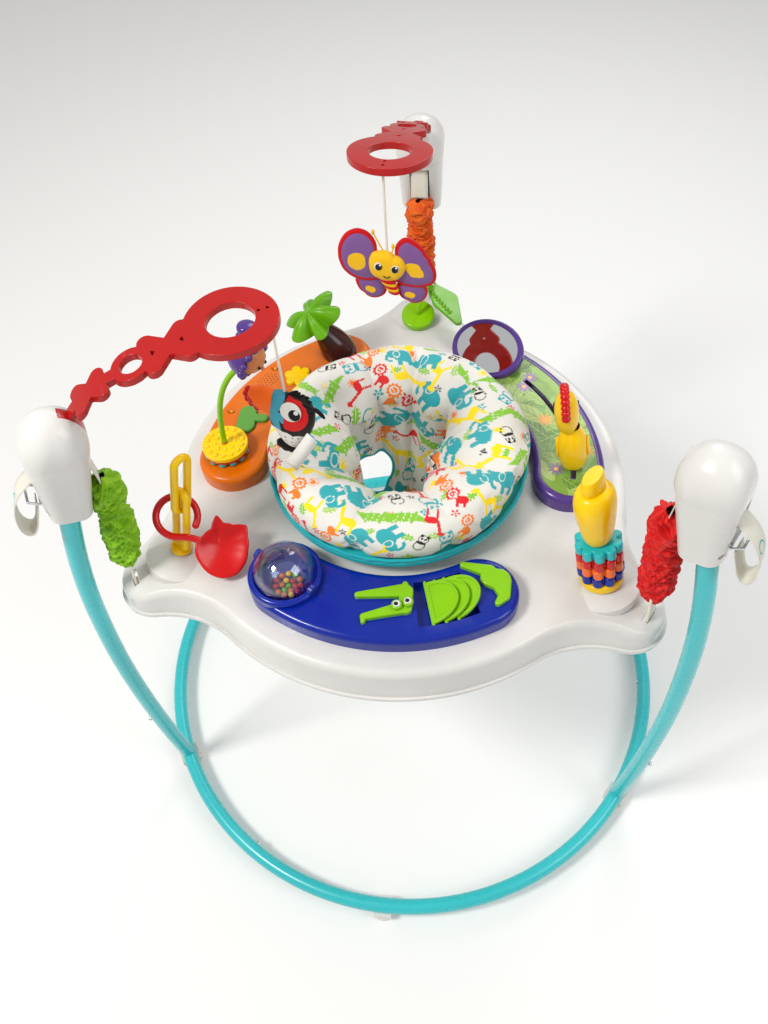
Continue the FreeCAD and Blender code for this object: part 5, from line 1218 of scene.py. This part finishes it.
def lathe(name, profile, material, place, steps=64, wave=None):
    """Turned shape from (radius, height) in millimetres; wave(turn, share) scales the radius."""
    heights = np.array([height for _, height in profile], float)
    radii = np.array([radius for radius, _ in profile], float)
    share = np.linspace(0, 1, len(profile))

    def form(u, v):
        turn = TAU * u
        radius = np.interp(v, share, radii) * MM
        if wave is not None:
            radius = radius * wave(turn, v)
        return radius * np.cos(turn), radius * np.sin(turn), np.interp(v, share, heights) * MM

    made = surface(name, form, steps, len(profile), material)
    weld(made, 2e-5)
    smoothed(made, 2)
    made.matrix_world = place
    return made


# Turned shapes of the two figures: radius and height in millimetres.
HOOD_PROFILE = [(22.8, 6), (24, 3), (24.3, 0), (23.6, -6), (21, -12), (16, -18.5), (9, -22.5), (0.3, -24)]
TOPKNOT_PROFILE = [(8, 18), (12.5, 20), (13.5, 25), (12.5, 29), (9, 31), (9.4, 32.5), (11.5, 35), (11.5, 40),
                   (9, 43), (0.3, 44)]
BODY_PROFILE = [(0.3, 2.5), (11, 2.6), (15, 6), (18, 22), (18.5, 40), (16, 56), (11, 66), (9.5, 72)]
HEAD_PROFILE = [(8, 66), (13, 72), (16, 84), (16.5, 98), (15.5, 110), (12.5, 120), (7, 126), (0.3, 128)]
BEAK_PROFILE = [(6.5, 0), (5.5, 5), (3.5, 11), (0.3, 15)]


def make_stalk_figure():
    """Round-faced head under a scalloped bonnet with a two-tier topknot."""
    low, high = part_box("figure_head")
    middle = Vector(((low.x + high.x) / 2, (low.y + high.y) / 2, low.z + 22 * MM))
    lean = turned(Matrix.Translation(middle), 6, "Y")
    face = ball("figure_face", lean, (19.5, 19, 20), "tan")
    put(face, "stalk_figure", ["figure_head"])
    # The bonnet opens towards the seat: its rim circles this direction.
    ahead = Vector((0.88, -0.36, -0.30)).normalized()
    aim = lean @ ahead.to_track_quat("Z", "Y").to_matrix().to_4x4()
    pieces = [lathe("figure_hood", HOOD_PROFILE, "purple", aim)]
    for number in range(11):
        swing = TAU * number / 11
        place = moved(aim, 21.5 * math.cos(swing), 21.5 * math.sin(swing), 6)
        pieces.append(ball("figure_frill_%d" % number, place, (5.6, 5.6, 4.4), "purple"))
    pieces.append(lathe("figure_topknot", TOPKNOT_PROFILE, "purple", turned(lean, -8, "X")))
    aside = ahead.cross(Vector((0, 0, 1))).normalized()
    upward = aside.cross(ahead).normalized()
    for number, offset in enumerate((-6.0, 6.0)):
        spot = (ahead * 18.4 + aside * offset + upward * 1.5) * MM
        pieces.append(ball("figure_eye_%d" % number, lean @ spot, (1.8, 1.8, 2.4), "black"))
    pieces.append(ball("figure_nose", lean @ ((ahead * 20.0 - upward * 3.5) * MM), (2.5, 2.5, 2.5), "tan"))
    for piece in pieces:
        put(piece, "stalk_figure")


def make_slider_figure():
    """Crested bird in two smooth halves, with a beaded red crest along its head."""
    stand = turned(turned(Matrix.Translation(polar(0.217, 2.0, 0.584)), 2.0, "Z"), -9, "Y")
    slim = Matrix.Diagonal((0.86, 1.0, 1.0, 1.0))
    put(lathe("slider_body", BODY_PROFILE, "yellow", stand), "slider", ["sliding_figure"])
    pieces = [lathe("slider_head", HEAD_PROFILE, "yellow", moved(stand, -5, 0, 0) @ slim),
              lathe("slider_beak", BEAK_PROFILE, "orange", turned(moved(stand, -6, 13, 98), -96, "X"))]
    for number in range(8):
        swing = math.radians(66 + number * 17)
        place = moved(stand, -6, 17.5 * math.cos(swing), 106 + 26 * math.sin(swing))
        pieces.append(ball("slider_crest_%d" % number, place, (5.4, 5.0, 5.0), "red"))
    for side in (-1, 1):
        place = moved(stand, -5 + side * 13.2, 6, 104)
        pieces.append(ball("slider_eye_%d" % (side + 2), place, (1.6, 2.6, 3.0), "black"))
        place = turned(turned(moved(stand, side * 17.6, 0, 36), 90, "Z"), 90, "X")
        pieces.append(pillow("slider_wing_%d" % (side + 2), oval_reach(9, 17), 2.5 * MM, "yellow", place))
    neck = [moved(stand, 0, 0, height).translation for height in (-8, 4)]
    pieces.append(tube("slider_neck", neck, 2.4 * MM, "yellow", order=2))
    for piece in pieces:
        put(piece, "slider")


# Outline of the hook's scoop, in millimetres from the middle of the hook.
SCOOP = [(42, -13), (46, -26), (57, -33), (71, -39), (67, -52), (61, -68), (50, -83), (36, -90), (20, -87),
         (8, -76), (3, -62), (2, -48), (8, -36), (18, -31), (30, -27), (37, -18)]


def make_hook():
    """Open hook that swells into a dished scoop with two tips."""
    centre = polar(0.277, 210.0, 0.628)
    across = polar(1.0, 32.0)
    normal = polar(math.cos(math.radians(52)), -58.0, math.sin(math.radians(52)))
    rise = normal.cross(across)
    turn = Matrix((across, rise, normal)).transposed().to_4x4()
    stand = Matrix.Translation(centre) @ turn
    points = [stand @ polar(23.5 * MM, angle) for angle in np.linspace(-48, 228, 24)]
    for x, y in ((-12, -21), (-2, -24.5), (6, -29), (14, -36)):
        points.append(stand @ Vector((x * MM, y * MM, 0)))
    put(tube("teether_hook", points, 4.2 * MM, "red"), "hook", ["hook_teether"])
    put(ball("teether_hook_tip", points[0], (4.2, 4.2, 4.2), "red"), "hook")
    middle_x, middle_y, reach = cut_panel(SCOOP)
    place = moved(stand, middle_x, middle_y, -1)
    scoop = pillow("teether_scoop", reach, 9 * MM, "red", place, 0.1, 120, 14, 15 * MM)
    smoothed(scoop, 1)
    put(scoop, "hook")


# ---- straps, leaf and small details -------------------------------------------------------------
def housing_place(angle):
    """Frame at the foot of a spring housing; its X runs outward and its Z up the housing."""
    return turned(turned(Matrix.Translation(polar(0.378, angle, 0.701)), angle, "Z"), -12.7, "Y")


# Way of a strap's middle, in millimetres outward from and above the foot of its housing.
STRAP_WAY = ((-36, 41), (-31, 58), (-26, 74), (-20, 92), (-16, 108), (-8, 114.5), (0, 113.5), (7, 106),
             (9, 96), (10, 84), (14, 76), (19, 69), (31, 58), (41, 46), (47, 32), (49, 20), (49, 8),
             (47, -6), (42, -15), (36, -17), (32, -10), (29.5, 4), (27.4, 22))


def smooth_run(points, steps):
    """Points along a smooth line that passes through a few given ones."""
    run = []
    for step in range(steps + 1):
        share = step / steps * (len(points) - 1)
        lower = min(int(share), len(points) - 2)
        start, end, part = points[lower], points[lower + 1], share - lower
        before, after = points[max(lower - 1, 0)], points[min(lower + 2, len(points) - 1)]
        square = (2 * before - 5 * start + 4 * end - after) * part ** 2
        cube = (3 * start - before - 3 * end + after) * part ** 3
        run.append(0.5 * (2 * start + (end - before) * part + square + cube))
    return run


def make_straps():
    """Height straps: folded webbing that loops out of each housing, with a ring mark."""
    half = 11.5 * MM
    for side, angle in LEGS.items():
        place = housing_place(angle)
        rows = smooth_run([Vector((x * MM, 0, z * MM)) for x, z in STRAP_WAY], 96)
        way_of_twist = -1 if side == "right" else 1
        points, faces = [], []
        for number, spot in enumerate(rows):
            twist = 0.14 * max(0.0, math.sin(math.pi * (number - 48) / 48)) * way_of_twist
            for edge in range(5):
                across = (edge / 2 - 1) * half
                points.append(place @ (spot + Vector((across * twist, across, 0))))
                if edge < 4 and number < 96:
                    first = number * 5 + edge
                    faces.append((first, first + 1, first + 6, first + 5))
        cloth_map = [(index % 5 / 4, index // 5 / 96) for face in faces for index in face]
        strap = add_object("height_strap_" + side, points, faces, "tape_mark", cloth_map)
        add_modifier(strap, "SOLIDIFY", thickness=1.1 * MM, offset=0.0)
        applied(strap)
        put(strap, "frame", ["height_straps"])


def make_tape_look():
    """Off-white webbing with a teal ring printed on its outer face."""
    shade = Shader("ring_webbing")
    flat = shade.node("UVMap").outputs["UV"]
    ribs = shade.node("TexWave", {"Vector": flat, "Scale": 40.0, "Distortion": 0.0}, bands_direction="X")
    where = shade.node("SeparateXYZ", {"Vector": flat})
    across = shade.maths("MULTIPLY", shade.maths("SUBTRACT", where.outputs["X"], 0.5), 23.0)
    along = shade.maths("MULTIPLY", shade.maths("SUBTRACT", where.outputs["Y"], 0.645), 270.0)
    far = shade.maths("SQRT", shade.maths("ADD", shade.maths("MULTIPLY", across, across),
                                          shade.maths("MULTIPLY", along, along)))
    ring = shade.maths("MULTIPLY", shade.span(far, 0.0, 1.0, 5.2, 5.4), shade.span(far, 1.0, 0.0, 6.8, 7.0))
    soiled = shade.span(shade.noise(60.0, 3.0), 0.0, 0.25)
    ground = shade.mixed(soiled, linear((0.88, 0.87, 0.82)), linear((0.7, 0.68, 0.62)))
    tone = shade.mixed(ring, ground, linear((0.12, 0.62, 0.66)))
    shade.surface(tone, 0.6, shade.bump(ribs.outputs["Fac"], 0.0001, 0.6), 0.25, sheen_weight=0.15)
    LOOKS["tape_mark"] = shade.material


def make_eyes():
    """Crocodile eyes set on the two bumps."""
    for number, (x, y) in enumerate(((213, 20.5), (208, 32.5))):
        spot = moved(turned(Matrix.Translation((0, 0, 0.562)), 270, "Z"), x, y, 33.6)
        for name, material, half, place, depth in (("eye", "white", 4.4, spot, 0.8),
                                                   ("pupil", "black", 2.5, moved(spot, 0.5, -0.6, 0.8), 0.5)):
            name = "crocodile_%s_%d" % (name, number)
            steps, rings = (32, 5) if half > 4 else (24, 4)
            disc = pillow(name, oval_reach(half, half), depth * MM, material, place, 0.8, steps, rings)
            put(disc, "tray_body")


def leafy_colour(x, y):
    """Printed leaves in several greens with a few daisies, over places in millimetres."""
    random = np.random.default_rng(3)
    colour = np.tile(np.array(linear((0.44, 0.60, 0.20))), (len(x), 1))
    greens = ((0.38, 0.56, 0.15), (0.50, 0.66, 0.25), (0.58, 0.70, 0.32),
              (0.30, 0.50, 0.14), (0.66, 0.75, 0.38))
    for number in range(70):
        spot = polar(random.uniform(170, 255), random.uniform(-16, 75))
        size, turn = random.uniform(14, 30), random.uniform(0, TAU)
        a, b = (x - spot.x) / size, (y - spot.y) / size
        along = a * math.cos(turn) + b * math.sin(turn)
        across = b * math.cos(turn) - a * math.sin(turn)
        inside = (np.abs(along) < 1) & (np.abs(across) < 0.42 * (1 - along ** 2))
        vein = np.abs(np.sin(9 * (along + 1.2 * np.abs(across)))) < 0.14
        colour[inside] = linear(greens[number % 5])
        colour[inside & (vein | (np.abs(across) < 0.02))] = linear(greens[(number + 1) % 5])
    daisies = ((208, 40, (0.55, 0.40, 0.66)), (226, 42, (0.50, 0.36, 0.62)), (200, 22, (0.93, 0.60, 0.22)),
               (236, 6, (0.90, 0.62, 0.20)), (196, -2, (0.46, 0.34, 0.58)))
    for radius, turn, shade in daisies:
        spot = polar(radius, turn + 2)
        reach, swing = np.hypot(x - spot.x, y - spot.y), np.arctan2(y - spot.y, x - spot.x)
        colour[reach < 8 + 3 * np.cos(9 * swing)] = linear(shade)
        colour[reach < 2.8] = linear((0.93, 0.66, 0.16))
    return colour


def make_label():
    """Printed label sunk in the purple console, cut round the slot."""
    inner, outer, half = 177.4, 246.6, 31.5
    cap = (outer - inner) / 2

    def form(u, v):
        turn = -46 + 92 * u
        past = np.clip(np.abs(turn) - half, 0, None) / 180 * math.pi * 212
        shrink = np.sqrt(np.clip(1 - (past / cap) ** 2, 0, 1))
        radius = (212 + (v - 0.5) * 2 * cap * shrink) * MM
        wise = np.radians(turn + 30)
        return radius * np.cos(wise), radius * np.sin(wise), 0.5834 + 0 * radius

    def keep(u, v):
        turn = -46 + 92 * u
        radius = 212 + (v - 0.5) * 2 * cap
        if abs(turn) > half + 9.4:
            return False
        return not (-33.9 < turn < 14.6 and 213.6 < radius < 220.4)

    label = surface("leafy_label", form, 420, 130, "label", (0.3, 0.07), False, False, keep)
    spots = points_of(label) / MM
    store_print(label, leafy_colour(spots[:, 0], spots[:, 1]))
    put(label, "tray_body")


def make_label_look():
    """Printed glossy sticker."""
    shade = Shader("printed_label")
    ink = shade.node("Attribute", attribute_name="print").outputs["Color"]
    worn = shade.span(shade.noise(30.0, 4.0), 0.0, 0.18, 0.3, 0.8)
    fade = shade.mixed(worn, ink, linear((0.75, 0.78, 0.6)))
    pitted = shade.bump(shade.noise(500.0), 0.00003, 0.2)
    shade.surface(fade, shade.span(shade.noise(80.0), 0.25, 0.45), pitted, 0.5)
    LOOKS["label"] = shade.material


# ---- the whole piece ----------------------------------------------------------------------------
place_camera()
make_looks()
make_label_look()
make_tape_look()
light_the_room()
lay_floor()
paint_cad()
make_toucan()
make_butterfly()
make_pad()
make_sling()
make_trim()
make_sleeve("left", "green", 21)
make_sleeve("right", "red", 34)
make_sleeve("rear", "orange", 47)
make_springs()
make_palm()
make_stalk_figure()
make_slider_figure()
make_hook()
make_straps()
make_eyes()
make_label()
